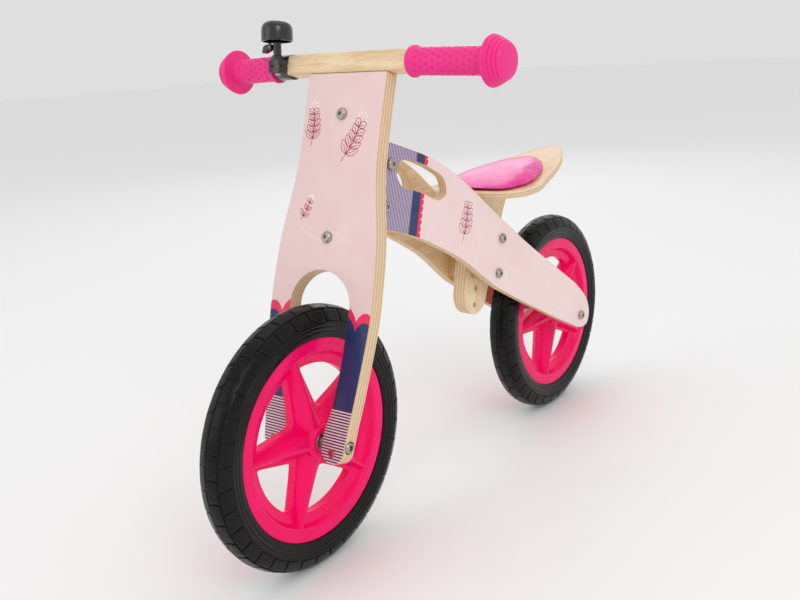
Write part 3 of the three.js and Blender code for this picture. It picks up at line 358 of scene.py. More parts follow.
class Finish:
    """A node material with short helpers. Coordinates are the piece's own, in mm."""

    def __init__(self, name, roughness=0.5, metallic=0.0, coat=0.0, specular=0.5):
        self.material = bpy.data.materials.new(name)
        self.material.use_nodes = True
        self.tree = self.material.node_tree
        self.shader = self.tree.nodes["Principled BSDF"]
        self.feed(self.shader, {"Roughness": roughness, "Metallic": metallic, "Coat Weight": coat,
                                "Coat Roughness": 0.12, "Specular IOR Level": specular})
        place = self.node("ShaderNodeTexCoord").outputs["Object"]
        scaled = self.node("ShaderNodeVectorMath", operation="SCALE")
        self.put(scaled.inputs[0], place)
        scaled.inputs["Scale"].default_value = 1000
        self.place = scaled.outputs[0]
        split = self.node("ShaderNodeSeparateXYZ")
        self.put(split.inputs[0], self.place)
        self.x, self.y, self.z = split.outputs

    def node(self, kind, **settings):
        made = self.tree.nodes.new(kind)
        for key, value in settings.items():
            setattr(made, key, value)
        return made

    def put(self, socket, value):
        if isinstance(value, bpy.types.NodeSocket):
            self.tree.links.new(value, socket)
        else:
            socket.default_value = value

    def feed(self, node, values):
        for key, value in values.items():
            self.put(node.inputs[key], value)

    def math(self, operation, a, b=0.0, c=0.0):
        made = self.node("ShaderNodeMath", operation=operation)
        for socket, value in zip(made.inputs, (a, b, c)):
            self.put(socket, value)
        return made.outputs[0]

    plus = partialmethod(math, "ADD")
    minus = partialmethod(math, "SUBTRACT")
    times = partialmethod(math, "MULTIPLY")
    over = partialmethod(math, "DIVIDE")
    size = partialmethod(math, "ABSOLUTE")
    part = partialmethod(math, "FRACT")

    def stripes(self, value, pitch, low, high):
        """1 in the gaps between even stripes, 0 on them."""
        return self.ramp(self.size(self.minus(self.part(self.over(value, pitch)), 0.5)), low, high)

    def ramp(self, value, low, high, to_low=0.0, to_high=1.0):
        made = self.node("ShaderNodeMapRange")
        made.interpolation_type = "SMOOTHSTEP"
        self.feed(made, {"Value": value, "From Min": low, "From Max": high, "To Min": to_low,
                         "To Max": to_high})
        return made.outputs[0]

    def mix(self, share, a, b):
        made = self.node("ShaderNodeMix", data_type="RGBA")
        self.put(made.inputs[0], share)
        self.put(made.inputs[6], a)
        self.put(made.inputs[7], b)
        return made.outputs[2]

    def noise(self, scale=1.0, stretch=(1, 1, 1), detail=3.0, rough=0.55):
        """Noise of 0 to 1; scale is in features per mm, stretch divides it along each axis."""
        spread = self.node("ShaderNodeMapping")
        self.feed(spread, {"Vector": self.place, "Scale": [scale / s for s in stretch]})
        made = self.node("ShaderNodeTexNoise")
        self.feed(made, {"Vector": spread.outputs[0], "Scale": 1.0, "Detail": detail, "Roughness": rough})
        return made.outputs[0]

    def relief(self, height, depth, strength=1.0):
        """Bump of that depth in mm."""
        made = self.node("ShaderNodeBump")
        self.feed(made, {"Strength": strength, "Distance": depth * MM, "Height": height})
        self.put(self.shader.inputs["Normal"], made.outputs[0])

    def colour(self, value):
        self.put(self.shader.inputs["Base Color"], value)
        return self

    def gloss(self, value):
        self.put(self.shader.inputs["Roughness"], value)


def worn(f, colour, darker, amount=1.0):
    """Slow unevenness of a colour, a few centimetres across."""
    return f.mix(f.ramp(f.noise(0.02, detail=2), 0.35, 0.75, 0, amount), colour, darker)


def timber(name, light, dark, grain, roughness=0.5, streak=1.0, coat=0.15):
    """Bare wood whose fibres run along one local axis."""
    f = Finish(name, roughness, coat=coat, specular=0.35)
    long = [1.0, 1.0, 1.0]
    long["xyz".index(grain)] = 28.0
    fibre = f.noise(1.6, long, 5.0, 0.65)
    figure = f.noise(0.11, [1 if s == 1 else 9 for s in long], 3.0)
    pores = f.noise(3.4, long, 2.0)
    share = f.ramp(f.plus(f.times(fibre, 0.55), f.times(figure, 0.45)), 0.36, 0.66)
    base = f.mix(share, light, dark)
    fleck = f.ramp(pores, 0.66, 0.74, 0.0, 0.35 * streak)
    f.colour(f.mix(fleck, base, rgb(150, 104, 62)))
    f.gloss(f.ramp(fibre, 0.3, 0.7, roughness - 0.06, roughness + 0.1))
    f.relief(f.plus(fibre, f.times(pores, -0.5)), 0.12, 0.5)
    return f.material


def ply_edge(name, across, pitch, phase=0.0):
    """Edge of plywood: veneers stacked along one local axis, glue lines between them."""
    f = Finish(name, 0.55, coat=0.1, specular=0.35)
    value = {"x": f.x, "y": f.y, "z": f.z}[across]
    stretch = [6.0, 6.0, 6.0]
    stretch["xyz".index(across)] = 1.0
    wobble = f.times(f.minus(f.noise(0.25, stretch, 2.0), 0.5), 0.5)
    layer = f.over(f.plus(f.plus(value, wobble), phase), pitch)
    place = f.part(layer)
    glue = f.minus(1.0, f.ramp(f.size(f.minus(place, 0.5)), 0.38, 0.47, 0.0, 1.0))
    odd = f.part(f.times(f.math("FLOOR", layer), 0.5))
    turn = f.math("GREATER_THAN", odd, 0.25)
    fibre = f.noise(2.2, stretch, 4.0, 0.7)
    pale = f.mix(f.ramp(fibre, 0.35, 0.7), rgb(242, 221, 188), rgb(232, 206, 168))
    end_grain = f.mix(f.ramp(fibre, 0.3, 0.7), rgb(228, 198, 158), rgb(212, 178, 136))
    veneer = f.mix(turn, pale, end_grain)
    f.colour(f.mix(glue, rgb(196, 156, 114), veneer))
    f.relief(f.plus(f.times(glue, 0.6), f.times(fibre, 0.5)), 0.15, 0.6)
    return f.material


PALE_PINK = rgb(236, 206, 203)
PANEL_PINK = rgb(247, 222, 220)
NAVY = rgb(29, 51, 104)
HOT_PINK = rgb(238, 18, 88)
LILAC = rgb(206, 186, 206)


def painted(f, fibres):
    """Satin paint that lets the veneer's fibres show faintly."""
    f.gloss(f.ramp(f.noise(0.15, detail=4), 0.3, 0.7, 0.36, 0.5))
    f.relief(f.noise(0.9, fibres, 3.0), 0.05, 0.4)
    return f.material


def board_print():
    """Painted front of the fork board: pale pink, scalloped band, navy, then stripes down to the leg ends."""
    f = Finish("board_print", 0.42, coat=0.25, specular=0.4)
    scallop, scallop_rise, scallop_foot, band_width = 27.0, 13.0, 133.0, 10.0
    navy_foot, stripe_pitch = 39.5, 3.1
    across = f.minus(f.size(f.x), 53.5)
    hump = f.math("POWER", f.size(f.math("SINE", f.times(across, pi / scallop))), 0.7)
    crest = f.plus(f.times(hump, scallop_rise), f.plus(f.times(across, -0.16), scallop_foot))
    above = f.minus(f.y, crest)
    pink = f.ramp(above, -0.2, 0.2)
    band = f.ramp(f.plus(above, band_width), -0.2, 0.2)
    stripe = f.stripes(f.y, stripe_pitch, 0.235, 0.265)
    paint = worn(f, PALE_PINK, rgb(230, 196, 194), 0.6)
    dark = worn(f, NAVY, rgb(24, 42, 88), 0.7)
    striped = f.mix(stripe, rgb(40, 32, 72), rgb(240, 205, 213))
    low = f.mix(f.ramp(f.y, navy_foot - 0.2, navy_foot + 0.2), striped, dark)
    mid = f.mix(band, low, HOT_PINK)
    f.colour(f.mix(pink, mid, paint))
    return painted(f, (1, 14, 14))


def panel_print(name):
    """Painted outer face of a side panel: stripes at the nose, a navy band, a beaded edge, then plain."""
    f = Finish(name, 0.42, coat=0.25, specular=0.4)
    nose_end, bead_pitch, stripe_pitch = -82.2, 7.6, 2.7
    back = f.times(f.x, cos(SPLAY))
    lean = f.times(f.minus(f.y, 435.8), -0.26)
    across = f.plus(f.minus(back, nose_end - HEAD_Y), lean)
    bead_row = f.part(f.over(f.y, bead_pitch))
    bead = f.math("SQRT", f.minus(0.25, f.math("POWER", f.minus(bead_row, 0.5), 2.0)))
    edge = f.plus(f.times(bead, 6.0), 18.9)
    inner_row = f.size(f.minus(bead_row, 0.5))
    gap_share = f.times(f.ramp(inner_row, 0.42, 0.5), f.ramp(across, 17.2, 17.8))
    stripes = f.stripes(across, stripe_pitch, 0.2, 0.27)
    plain = worn(f, PANEL_PINK, rgb(243, 214, 212), 0.6)
    beads = f.mix(gap_share, HOT_PINK, rgb(250, 176, 190))
    rest = f.mix(f.ramp(f.minus(across, edge), -0.2, 0.2), beads, plain)
    navy = f.mix(f.ramp(across, 15.1, 15.5), worn(f, NAVY, rgb(24, 42, 88), 0.7), rest)
    striped = f.mix(stripes, rgb(84, 76, 128), LILAC)
    f.colour(f.mix(f.ramp(across, -0.2, 0.2), striped, navy))
    return painted(f, (14, 1, 14))


def moulded(name, colour, darker, roughness, coat=0.4, grain=0.04, specular=0.35):
    """Moulded plastic with a fine surface grain and faint flow marks."""
    f = Finish(name, roughness, coat=coat, specular=specular)
    f.colour(worn(f, colour, darker, 0.8))
    f.gloss(f.ramp(f.noise(0.04, detail=3), 0.3, 0.75, roughness - 0.05, roughness + 0.1))
    f.relief(f.noise(1.8, detail=4), grain, 0.5)
    return f.material


def steel(name, tint=(188, 184, 176), roughness=0.28):
    f = Finish(name, roughness, metallic=1.0)
    f.colour(f.mix(f.ramp(f.noise(0.5, detail=4), 0.35, 0.7), rgb(*tint), rgb(*[c - 34 for c in tint])))
    f.gloss(f.ramp(f.noise(0.8, (1, 5, 5), 4.0), 0.3, 0.7, roughness - 0.08, roughness + 0.14))
    f.relief(f.noise(4.0, (1, 8, 8), 2.0), 0.03, 0.35)
    return f.material


def foam_rubber():
    """Closed-cell tyre foam: black with a skin that shines where it has been rubbed."""
    f = Finish("tyre_foam", 0.4, specular=0.24)
    patch = f.ramp(f.noise(0.05, detail=3), 0.35, 0.7)
    f.colour(f.mix(patch, rgb(3, 3, 4), rgb(10, 9, 9)))
    f.gloss(f.ramp(f.noise(0.05, detail=4), 0.3, 0.7, 0.17, 0.36))
    f.relief(f.plus(f.noise(0.9, detail=4), f.times(f.noise(0.12, detail=2), 3.0)), 0.2, 0.4)
    return f.material


def vinyl():
    """Glossy pad cover with a fine leather-like grain and a few soft creases."""
    f = Finish("pad_vinyl", 0.24, coat=0.3, specular=0.4)
    f.colour(worn(f, rgb(238, 28, 150), rgb(234, 40, 158), 0.8))
    f.feed(f.shader, {"Sheen Weight": 0.08, "Sheen Roughness": 0.4, "Sheen Tint": rgb(232, 176, 232)})
    f.gloss(f.ramp(f.noise(0.05, detail=3), 0.3, 0.7, 0.2, 0.32))
    cell = f.node("ShaderNodeTexVoronoi", feature="DISTANCE_TO_EDGE")
    f.feed(cell, {"Vector": f.place, "Scale": 0.9})
    grain = f.ramp(cell.outputs[0], 0.0, 0.14)
    crease = f.noise(0.03, (1, 2.4, 1), 3.0)
    f.relief(f.plus(f.times(grain, 0.1), f.times(crease, 1.2)), 0.22, 0.3)
    return f.material


BOARD_PRINT = board_print()
PANEL_PRINTS = {1: panel_print("panel_print_left"), -1: panel_print("panel_print_right")}
BIRCH_LIGHT, BIRCH_DARK = rgb(242, 219, 182), rgb(229, 199, 156)
BARE_UP = timber("bare_birch_board", BIRCH_LIGHT, BIRCH_DARK, "y")
BARE_LONG = timber("bare_birch_panel", BIRCH_LIGHT, rgb(216, 180, 132), "x")
POST_FACE = timber("bare_birch_post", rgb(246, 226, 190), BIRCH_DARK, "y")
SEAT_FACE = timber("bare_birch_seat", rgb(232, 198, 160), rgb(219, 180, 140), "y", 0.4, coat=0.3)
# The blocks are birch like the other wood; this darker, browner tone is painted shade for where they sit,
# between the post, the panels and the fork board.
SHADED_BLOCK_WOOD = timber("birch_blocks_painted_shade", rgb(230, 197, 150), rgb(210, 170, 122), "z")
BAR_WOOD = timber("bar_wood", rgb(243, 219, 180), rgb(218, 180, 134), "x", 0.42, 2.2, 0.25)
EDGE_18 = ply_edge("ply_edge_18", "z", 2.25, 9.0)
EDGE_12 = ply_edge("ply_edge_12", "z", 2.0, 6.0)
EDGE_SEAT = ply_edge("ply_edge_seat", "z", 1.6, 0.0)
MAGENTA = moulded("rim_magenta", rgb(252, 0, 108), rgb(244, 0, 96), 0.26, 0.1, 0.012, 0.16)
GRIP = moulded("grip_rubber", rgb(246, 40, 140), rgb(240, 44, 134), 0.42, 0.1, 0.05)
BLACK = moulded("bell_black", rgb(18, 18, 20), rgb(28, 28, 30), 0.18, 0.7, 0.01)
NYLON = moulded("nylon_white", rgb(236, 232, 222), rgb(228, 222, 208), 0.4, 0.1)
FOAM = foam_rubber()
VINYL = vinyl()
STEEL = steel("plated_steel")
RED_STEEL = steel("tinted_steel", (206, 110, 112), 0.35)
INK = moulded("line_ink", rgb(184, 74, 104), rgb(176, 66, 98), 0.5, 0.0)
WHITE_INK = moulded("white_ink", rgb(252, 246, 244), rgb(250, 240, 240), 0.5, 0.0)


# ---- tyres ----
TYRE_HALF = spline([(TYRE_RADIUS, 0), (145, 11.4), (137.6, 17.1), (127.3, 19), (113.3, 15.96)], 10)
TREAD_END, SKIN_END = 28.0, 52
GROOVE = 1.3
SIDE_GROOVES = (33.5, 38.5)
BLOCKS = 36


def tyre_section(v):
    """(radius, x, outward radius share, outward x share) at v mm along the tyre's skin from its crown."""
    side = -1 if v < 0 else 1
    left = abs(v)
    for (r0, x0), (r1, x1) in zip(TYRE_HALF, TYRE_HALF[1:]):
        step = hypot(r1 - r0, x1 - x0)
        if left <= step or (r1, x1) == TYRE_HALF[-1]:
            t = min(left / step, 1.0)
            return (r0 + (r1 - r0) * t, side * (x0 + (x1 - x0) * t), (x1 - x0) / step,
                    side * (r0 - r1) / step)
        left -= step


def tyre_point(u, v, sink):
    r, x, nr, nx = tyre_section(v)
    r, x = r - nr * sink, x - nx * sink
    return (x, r * cos(u / TYRE_RADIUS), r * sin(u / TYRE_RADIUS))


def tread_block(u, lo, hi, length, slant):
    """One block: a softly edged pad of the tyre's own skin between lo and hi, u along the tread."""
    middle = (lo + hi) / 2

    def outline(inset, sink):
        ring = []
        near = [(-1, -1), (-0.3, -1), (0.3, -1), (1, -1), (1, -0.35), (1, 0.35)]
        for a, b in near + [(-a, -b) for a, b in near]:
            v = middle + b * ((hi - lo) / 2 - inset)
            along = u + a * (length / 2 - inset) + slant * (abs(v - middle) if slant > 0 else v - middle)
            ring.append(tyre_point(along, v, sink))
        return ring

    rings = [outline(0, GROOVE + 0.8), outline(0, 0.7), outline(0.35, 0.2), outline(1.0, 0), outline(2.4, 0)]
    verts, faces = loft(rings)
    return verts, faces[:-2] + [faces[-1]]


def tyre(name, wheel_matrix, node):
    half = []
    v = 0.0
    while v <= SKIN_END:
        r, x, nr, nx = tyre_section(v)
        sink = GROOVE * min(1.0, max(0.0, (TREAD_END + 1.2 - v) / 1.4))
        for groove in SIDE_GROOVES:
            sink += 0.9 * max(0.0, 1 - abs(v - groove) / 1.3)
        half.append((x - nx * sink, r - nr * sink))
        v += 0.8 if v > 25 else 2.0
    half = half[:-2] + [(15.96, 113.3), (12.4, 113.3), (12.4, 105)]
    pieces = [turned(both_ends(half)[:-1], 144, closed=True)]
    pitch = 2 * pi * TYRE_RADIUS / BLOCKS
    for i in range(BLOCKS):
        for side in (-1, 1):
            shift = 0 if side > 0 else pitch / 2
            centre = (0.6, 13.0) if side > 0 else (-13.0, -0.6)
            shoulder = (14.2, TREAD_END) if side > 0 else (-TREAD_END, -14.2)
            pieces.append(tread_block(i * pitch + shift, *centre, pitch - 1.5, 0.34 * side))
            pieces.append(tread_block((i + 0.5) * pitch + shift, *shoulder, pitch - 1.6, -0.22 * side))
    obj = shape(name, pieces, wheel_matrix, 50)
    stand_in(dress(obj, FOAM), node)


# ---- rims ----
SPOKES = 5
WINDOW_END, WEB_HALF = 84, 4.8
# distance out from the axle, then half width at the foot, half width of the ridge and height of the ridge
SPOKE_SIZES = [(13, 16.9, 6.6, 19.2), (22, 16.4, 6.2, 18.6), (34, 15.6, 5, 17.5), (50, 12.7, 4.1, 16.7),
               (66, 9.9, 3.3, 15.9), (82, 7.3, 2.5, 15.1), (90, 6.4, 2.1, 14.75), (97.5, 6.6, 1.9, 14.4)]


def about(turn, piece):
    """Points (a, b) turned about the origin."""
    return [(a * cos(turn) - b * sin(turn), a * sin(turn) + b * cos(turn)) for a, b in piece]


def spoke_ring(along, base, ridge, top):
    """Cross-section of a spoke, softly peaked on both sides."""
    flank = [(base, 3.0), (base * 0.93, 4.6), (base * 0.78, 6.2 + (top - 5) * 0.08),
             (ridge + (base - ridge) * 0.30, top - (top - 5) * 0.34), (ridge * 1.08, top - 1.7),
             (ridge * 0.72, top - 0.4), (0, top)]
    upper = flank + [(-s, h) for s, h in reversed(flank[:-1])]
    lower = [(s, -h) for s, h in reversed(upper)]
    return [(h, s, along) for s, h in upper + lower]


def rim(name, rolled, wheel_matrix, node):
    barrel = [(-5, WINDOW_END), (-7.2, 94.5), (-14.0, 97.8), (-15.1, 99.6), (-15.1, 113), (-12.6, 113),
              (-12.6, 104.6)]
    pieces = [turned(soften(both_ends(barrel), 0.9, True, 4), 144, closed=True)]
    hub = both_ends([(-22, 15.5), (-21, 16.5), (-19.4, 17.1), (-17.8, 19.6), (-16.8, 20)])
    bored = [(-22, 11.3), *soften(hub, 0.8, False), (22, 11.3), (14.7, 11.3), (14.7, 6.9), (-14.7, 6.9),
             (-14.7, 11.3)]
    pieces.append(turned(bored, 64, closed=True))
    for i in range(SPOKES):
        turn = pi + radians(360 / SPOKES * i - rolled)
        rings = []
        for sizes in SPOKE_SIZES:
            section = spoke_ring(*sizes)
            turned_round = about(turn, [(s, r) for h, s, r in section])
            rings.append([(h, a, b) for (h, s, r), (a, b) in zip(section, turned_round)])
        pieces.append(loft(rings))
    obj = shape(name, pieces, wheel_matrix, 40)
    cutters = []
    window = soften([(33, 0), (75.6, 43), *arc(0, 0, WINDOW_END, 20, -20, 10), (75.6, -43)], 9, True, 6, 0.5)
    for i in range(SPOKES):
        loop = about(radians(360 / SPOKES * (i + 0.5) - 90 - rolled), window)
        cutters.append(loft([[(a, b, h) for a, b in loop] for h in (-8, 8)]))
    disc = arc(0, 0, WINDOW_END + 2, 0, 360, 120)[:-1]
    web = plate(name + "_web", disc, [], WEB_HALF, wheel_matrix @ SIDE_PLATE, 0.5, cutters)
    rounded(web, 1.6, 4, 60)
    for piece in (obj, web):
        dress(piece, MAGENTA)
    stand_in(obj, node)
    stand_in(web, node)


def bearing(name, matrix, node, sign):
    half = [(-3.5, 4.3), (-3.5, 6.2), (-2.9, 6.4), (-2.9, 9.0), (-3.5, 9.2), (-3.5, 11)]
    place = matrix @ shift(sign * 18.5)
    ring = turned(soften(both_ends(half), 0.3), 48, True)
    stand_in(dress(shape(name, [ring], place), STEEL), node)


for end, matrix, rolled in (("front", FRONT_WHEEL, 22.5), ("rear", REAR_WHEEL, 15.0)):
    tyre(end + "_tyre_tread", matrix, end + "_tyre")
    rim(end + "_rim_moulding", rolled, matrix, end + "_rim")
    for side, sign in SIDES:
        bearing(f"{end}_bearing_ring_{side}", matrix, f"{end}_bearing_{side}", sign)
        stop = 26.7 if end == "front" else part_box("rear_spacer_left")[1].x / MM
        radius = 7.5 if end == "front" else 8
        tube = soften([(22.3, 4.3), (22.3, radius), (stop, radius), (stop, 4.3)], 0.5)
        place = aim(matrix, "+x" if sign > 0 else "-x")
        piece = shape(f"{end}_spacer_tube_{side}", [turned(tube, 48, True)], place)
        stand_in(dress(piece, STEEL), f"{end}_spacer_{side}")


# ---- fasteners ----
def socket_ring(a, across, steps=48):
    """Hexagon sampled like the circles it joins."""
    ring = []
    for i in range(steps):
        t = 2 * pi * i / steps
        wedge = (t % (pi / 3)) - pi / 6
        r = across * cos(pi / 6) / cos(wedge)
        ring.append((a, r * cos(t), r * sin(t)))
    return ring


def button(head, height, shank, length, socket=2.6):
    """Button head with a hex socket along +x, and its shank."""
    dome = [(0, head - 0.25), (0.25, head), (height * 0.38, head), (height * 0.6, head * 0.93),
            (height * 0.82, head * 0.82), (height * 0.95, head * 0.7),
            (height, max(head * 0.56, socket + 0.7)), (height, socket + 0.5)]
    rings = [ring_at(-length, shank, 48), ring_at(-0.01, shank, 48)]
    rings += [ring_at(a, r, 48) for a, r in dome]
    rings += [socket_ring(height - 0.15, socket + 0.15), socket_ring(height - 0.5, socket),
              socket_ring(height * 0.4, socket * 0.98)]
    return loft(rings)


HEAD_HEIGHT = 4.0
BOARD_FACE = -9.3
LEG_CENTRE = 42.5


def fastener(name, node, matrix, head=6.5, height=HEAD_HEIGHT, shank=3.0, length=12.0, socket=2.6,
             material=STEEL):
    obj = shape(name, [button(head, height, shank, length, socket)], matrix, 30)
    stand_in(dress(obj, material), node)


for node, shank in (("head_bolt_upper", 3), ("head_bolt_lower", 3), ("post_bolt_upper", 3),
                    ("post_bolt_lower", 3), ("rear_axle", 4)):
    lo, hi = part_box(node)
    far_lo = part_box(node + "_nut")[0]
    centre = (lo + hi) / 2
    seat = hi.x - HEAD_HEIGHT * MM
    at = Matrix.Translation((seat, centre.y, centre.z))
    fastener(node + "_head", node, at, shank=shank, length=(seat - lo.x) / MM)
    at = aim(Matrix.Translation((far_lo.x + HEAD_HEIGHT * MM, centre.y, centre.z)), "-x")
    fastener(node + "_cap", node + "_nut", at, shank=2, length=1)
for level, s in (("upper", UPPER_BOLT), ("lower", LOWER_BOLT)):
    bolt = level + "_steering_bolt"
    fastener(bolt + "_head", bolt, aim(fork_at(0, BOARD_FACE, s), "-y"), length=36)
for side, sign in SIDES:
    fastener("axle_lock_screw_head_" + side, "axle_lock_screw_" + side,
             aim(fork_at(sign * LEG_CENTRE, BOARD_FACE, -8.6), "-y"), 4.4, 1.9, 1.9, 10, 1.5, RED_STEEL)
fastener("front_axle_head", "front_axle", aim(fork_at(53.6, 0, 0), "+x"), 6.8, 7.0, 4.0, 108, 3.4)
fastener("front_axle_cap", "front_axle_nut", aim(fork_at(-53.6, 0, 0), "-x"), 6.8, 7.0, 4.0, 1, 3.4)


# ---- fork board ----
def board():
    outer = spline([(58, -5), (61, 23), (65, 55), (70.7, 116), (71.9, 153), (68.7, 213), (60.5, 262),
                    (56.6, 288), (54.5, 316)])
    inner = spline([(27, -5), (27.4, 8), (29.2, 17), (34.7, 38), (37, 58), (40, 84), (42, 145)])
    right = [*outer, *soften([(54.5, 316), (54.5, BOARD_TOP), (0, BOARD_TOP)], 1.2, False)[1:-1]]
    arch = [(-42 * cos(pi * i / 36), 145 + 38.3 * sin(pi * i / 36)) for i in range(1, 36)]
    feet = [arc(sign * LEG_CENTRE, -5, 15.5, 180, 360, 20)[1:-1] for sign in (-1, 1)]
    loop = [*both_ends(right), *feet[0], *[(-x, s) for x, s in inner], *arch, *reversed(inner), *feet[1]]
    recesses = []
    for sign in (1, -1):
        cup = soften([(sign * 53.3, 0.1), (sign * 53.3, 7.4), (sign * 75, 7.4)], 0.6, False)
        verts, faces = turned(cup, 48)
        recesses.append(([(x, z, -y) for x, y, z in verts], faces))
    obj = plate("fork_board_painted", loop, [], BOARD_HALF, FORK_PLATE, 0.9, recesses)
    stand_in(dress(obj, BOARD_PRINT, BARE_UP, EDGE_18), "fork_board")


board()

# ---- side panels ----
PANEL_BOTTOM = [(-.0046, -51.4), (.0914, -39.2), (.1862, -29.9), (.2964, -25.4), (.3804, -24.7),
                (.4771, -29.3), (.544, -31.8), (.6422, -30.6), (.7812, -27.2), (.8924, -23.7),
                (.9692, -19.9)]
PANEL_TAIL = [(.9692, -19.9), (1.0086, -18.2), (1.045, -8.5), (1.0485, 6.5), (1.0293, 20.4), (.9915, 31),
              (.9174, 38.2)]
PANEL_TOP = [(.9174, 38.2), (.7771, 41.5), (.6406, 45), (.5259, 50), (.4055, 56.3), (.3323, 61),
             (.2474, 64.4), (.1877, 64), (.1315, 61.9), (.0876, 58.2), (.0042, 49.6)]
HANDLE_HOLE = [(.0463, 20.2), (.0741, 12.8), (.1136, 16.4), (.1573, 20.3), (.2049, 22.6), (.2236, 29.6),
               (.2289, 38.5), (.2019, 50.5), (.1616, 51.2), (.1227, 49.5), (.0811, 45.6), (.0482, 38.5),
               (.0393, 29.8), (.0463, 20.2)]


def on_panel(y, z):
    """A (y, z) point of the side view in a splayed panel's own plane."""
    return ((y - HEAD_Y) / cos(SPLAY), z)


def panel_line(pairs):
    return [on_panel(*p) for p in spline([spine_point(*q) for q in pairs])]


def panel(side, sign):
    loop = [on_panel(*head_point(HEAD_BOTTOM, -15))]
    for pairs in (PANEL_BOTTOM, PANEL_TAIL, PANEL_TOP):
        loop += panel_line(pairs)[1:]
    loop = soften([*loop, on_panel(*head_point(HEAD_TOP - 0.8, -15))], 1.5, True, 3, 0.5)
    inward = shift(0, 0, -sign * PANEL_HALF)
    obj = plate("frame_panel_painted_" + side, loop, [panel_line(HANDLE_HOLE)[:-1]], PANEL_HALF,
                panel_matrix(sign) @ inward, 0.9)
    faces = (PANEL_PRINTS[sign], BARE_LONG) if sign > 0 else (BARE_LONG, PANEL_PRINTS[sign])
    stand_in(dress(obj, *faces, EDGE_12), "frame_panel_" + side)


for side, sign in SIDES:
    panel(side, sign)


# ---- printed lines: a plain leaf sprig, dots and a dashed loop, 0.08 mm proud of the paint ----
def ribbon(points, width, lift):
    """Strip along a line in a plate's own plane, from the lower to the higher of its two lifts."""
    left, right = [], []
    pts = [Vector(p) for p in points]
    for i, p in enumerate(pts):
        way = (pts[min(i + 1, len(pts) - 1)] - pts[max(i - 1, 0)]).normalized()
        normal = Vector((-way.y, way.x)) * width / 2
        left.append(p + normal)
        right.append(p - normal)
    low, high = min(lift), max(lift)
    return loft([[(a.x, a.y, low), (b.x, b.y, low), (b.x, b.y, high), (a.x, a.y, high)]
                 for a, b in zip(left, right)])


def dot(x, y, radius, lift):
    return loft([[(x + radius * cos(t * pi / 6), y + radius * sin(t * pi / 6), h)
                  for t in range(12)] for h in (min(lift), max(lift))])


def sprig(base, turn, size, lift):
    """A stem with paired leaves drawn as outlines; returns its lines and a crown of dots."""
    def place(a, b):
        c, s = cos(turn), sin(turn)
        return (base[0] + size * (a * c - b * s), base[1] + size * (a * s + b * c))
    lines = [[place(0.06 * sin(3 * t / 20), t / 20) for t in range(21)]]
    pairs = 5 if size > 30 else 3
    for k in range(pairs):
        height = 0.2 + 0.68 * k / (pairs - 1)
        reach = 0.34 - 0.14 * k / (pairs - 1)
        for side in (-1, 1):
            leaf = []
            for t in range(17):
                u = t / 8 if t <= 8 else (16 - t) / 8
                bow = 0.075 * sin(pi * u) * (1 if t <= 8 else -1)
                leaf.append(place(0.06 * sin(3 * height) + side * (u * reach * 0.8 - bow * 0.6),
                                  height + u * reach * 0.7 + bow))
            vein = [place(0.06 * sin(3 * height) + side * u * reach * 0.6, height + u * reach * 0.52)
                    for u in (0, 0.3, 0.6, 0.9)]
            lines += [leaf, vein]
    dots = [place(a, b) for a, b in arc(0.02, 1.08, 0.13, 0, 315, 7)]
    return [ribbon(line, 0.8, lift) for line in lines], [dot(x, y, 1.0, lift) for x, y in dots]


def dashed(points, lift, dash=2.6, width=0.6):
    """Dashes along a smooth line."""
    line = spline(points, 16)
    out, run, travelled = [], [line[0]], 0.0
    for a, b in zip(line, line[1:]):
        travelled += hypot(b[0] - a[0], b[1] - a[1])
        if int(travelled / dash) % 2 == 0:
            run.append(b)
        else:
            if len(run) > 1:
                out.append(ribbon(run, width, lift))
            run = [b]
    return out


def printed(name, lines, material, matrix, body):
    obj = dress(shape(name, lines, matrix), material)
    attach(obj, body)


SUNK, PROUD = 0.05, 0.08
board_lift = (BOARD_HALF - SUNK, BOARD_HALF + PROUD)
stems, dots = [], []
for base, turn, size in (((6, 302), -0.45, 48), ((-40, 318), 0.05, 40), ((-42, 236), -0.45, 25)):
    lines, crown = sprig(base, turn, size, board_lift)
    stems += lines
    dots += crown
dots += dashed([(-45, 233), (-28, 221), (-8, 214.5), (8, 213.5), (20, 217), (26, 224), (22, 231),
                (15, 229), (15, 221), (24, 216), (38, 220)], board_lift)
printed("board_sprig_lines", stems, INK, FORK_PLATE, "fork")
printed("board_dots_and_dashes", dots, WHITE_INK, FORK_PLATE, "fork")
SWIRL = [(.46, 22), (.56, 4), (.66, -8), (.75, -4), (.78, 12), (.73, 20), (.70, 8), (.76, -8), (.86, -8),
         (.98, 6)]
for side, sign in SIDES:
    lift = (-sign * SUNK, sign * PROUD)
    stems, dots = sprig(on_panel(-6, 316), -0.3, 48, lift)
    dots += dashed([on_panel(*spine_point(*p)) for p in SWIRL], lift)
    printed("panel_sprig_lines_" + side, stems, INK, panel_matrix(sign), "frame")
    printed("panel_dots_and_dashes_" + side, dots, WHITE_INK, panel_matrix(sign), "frame")


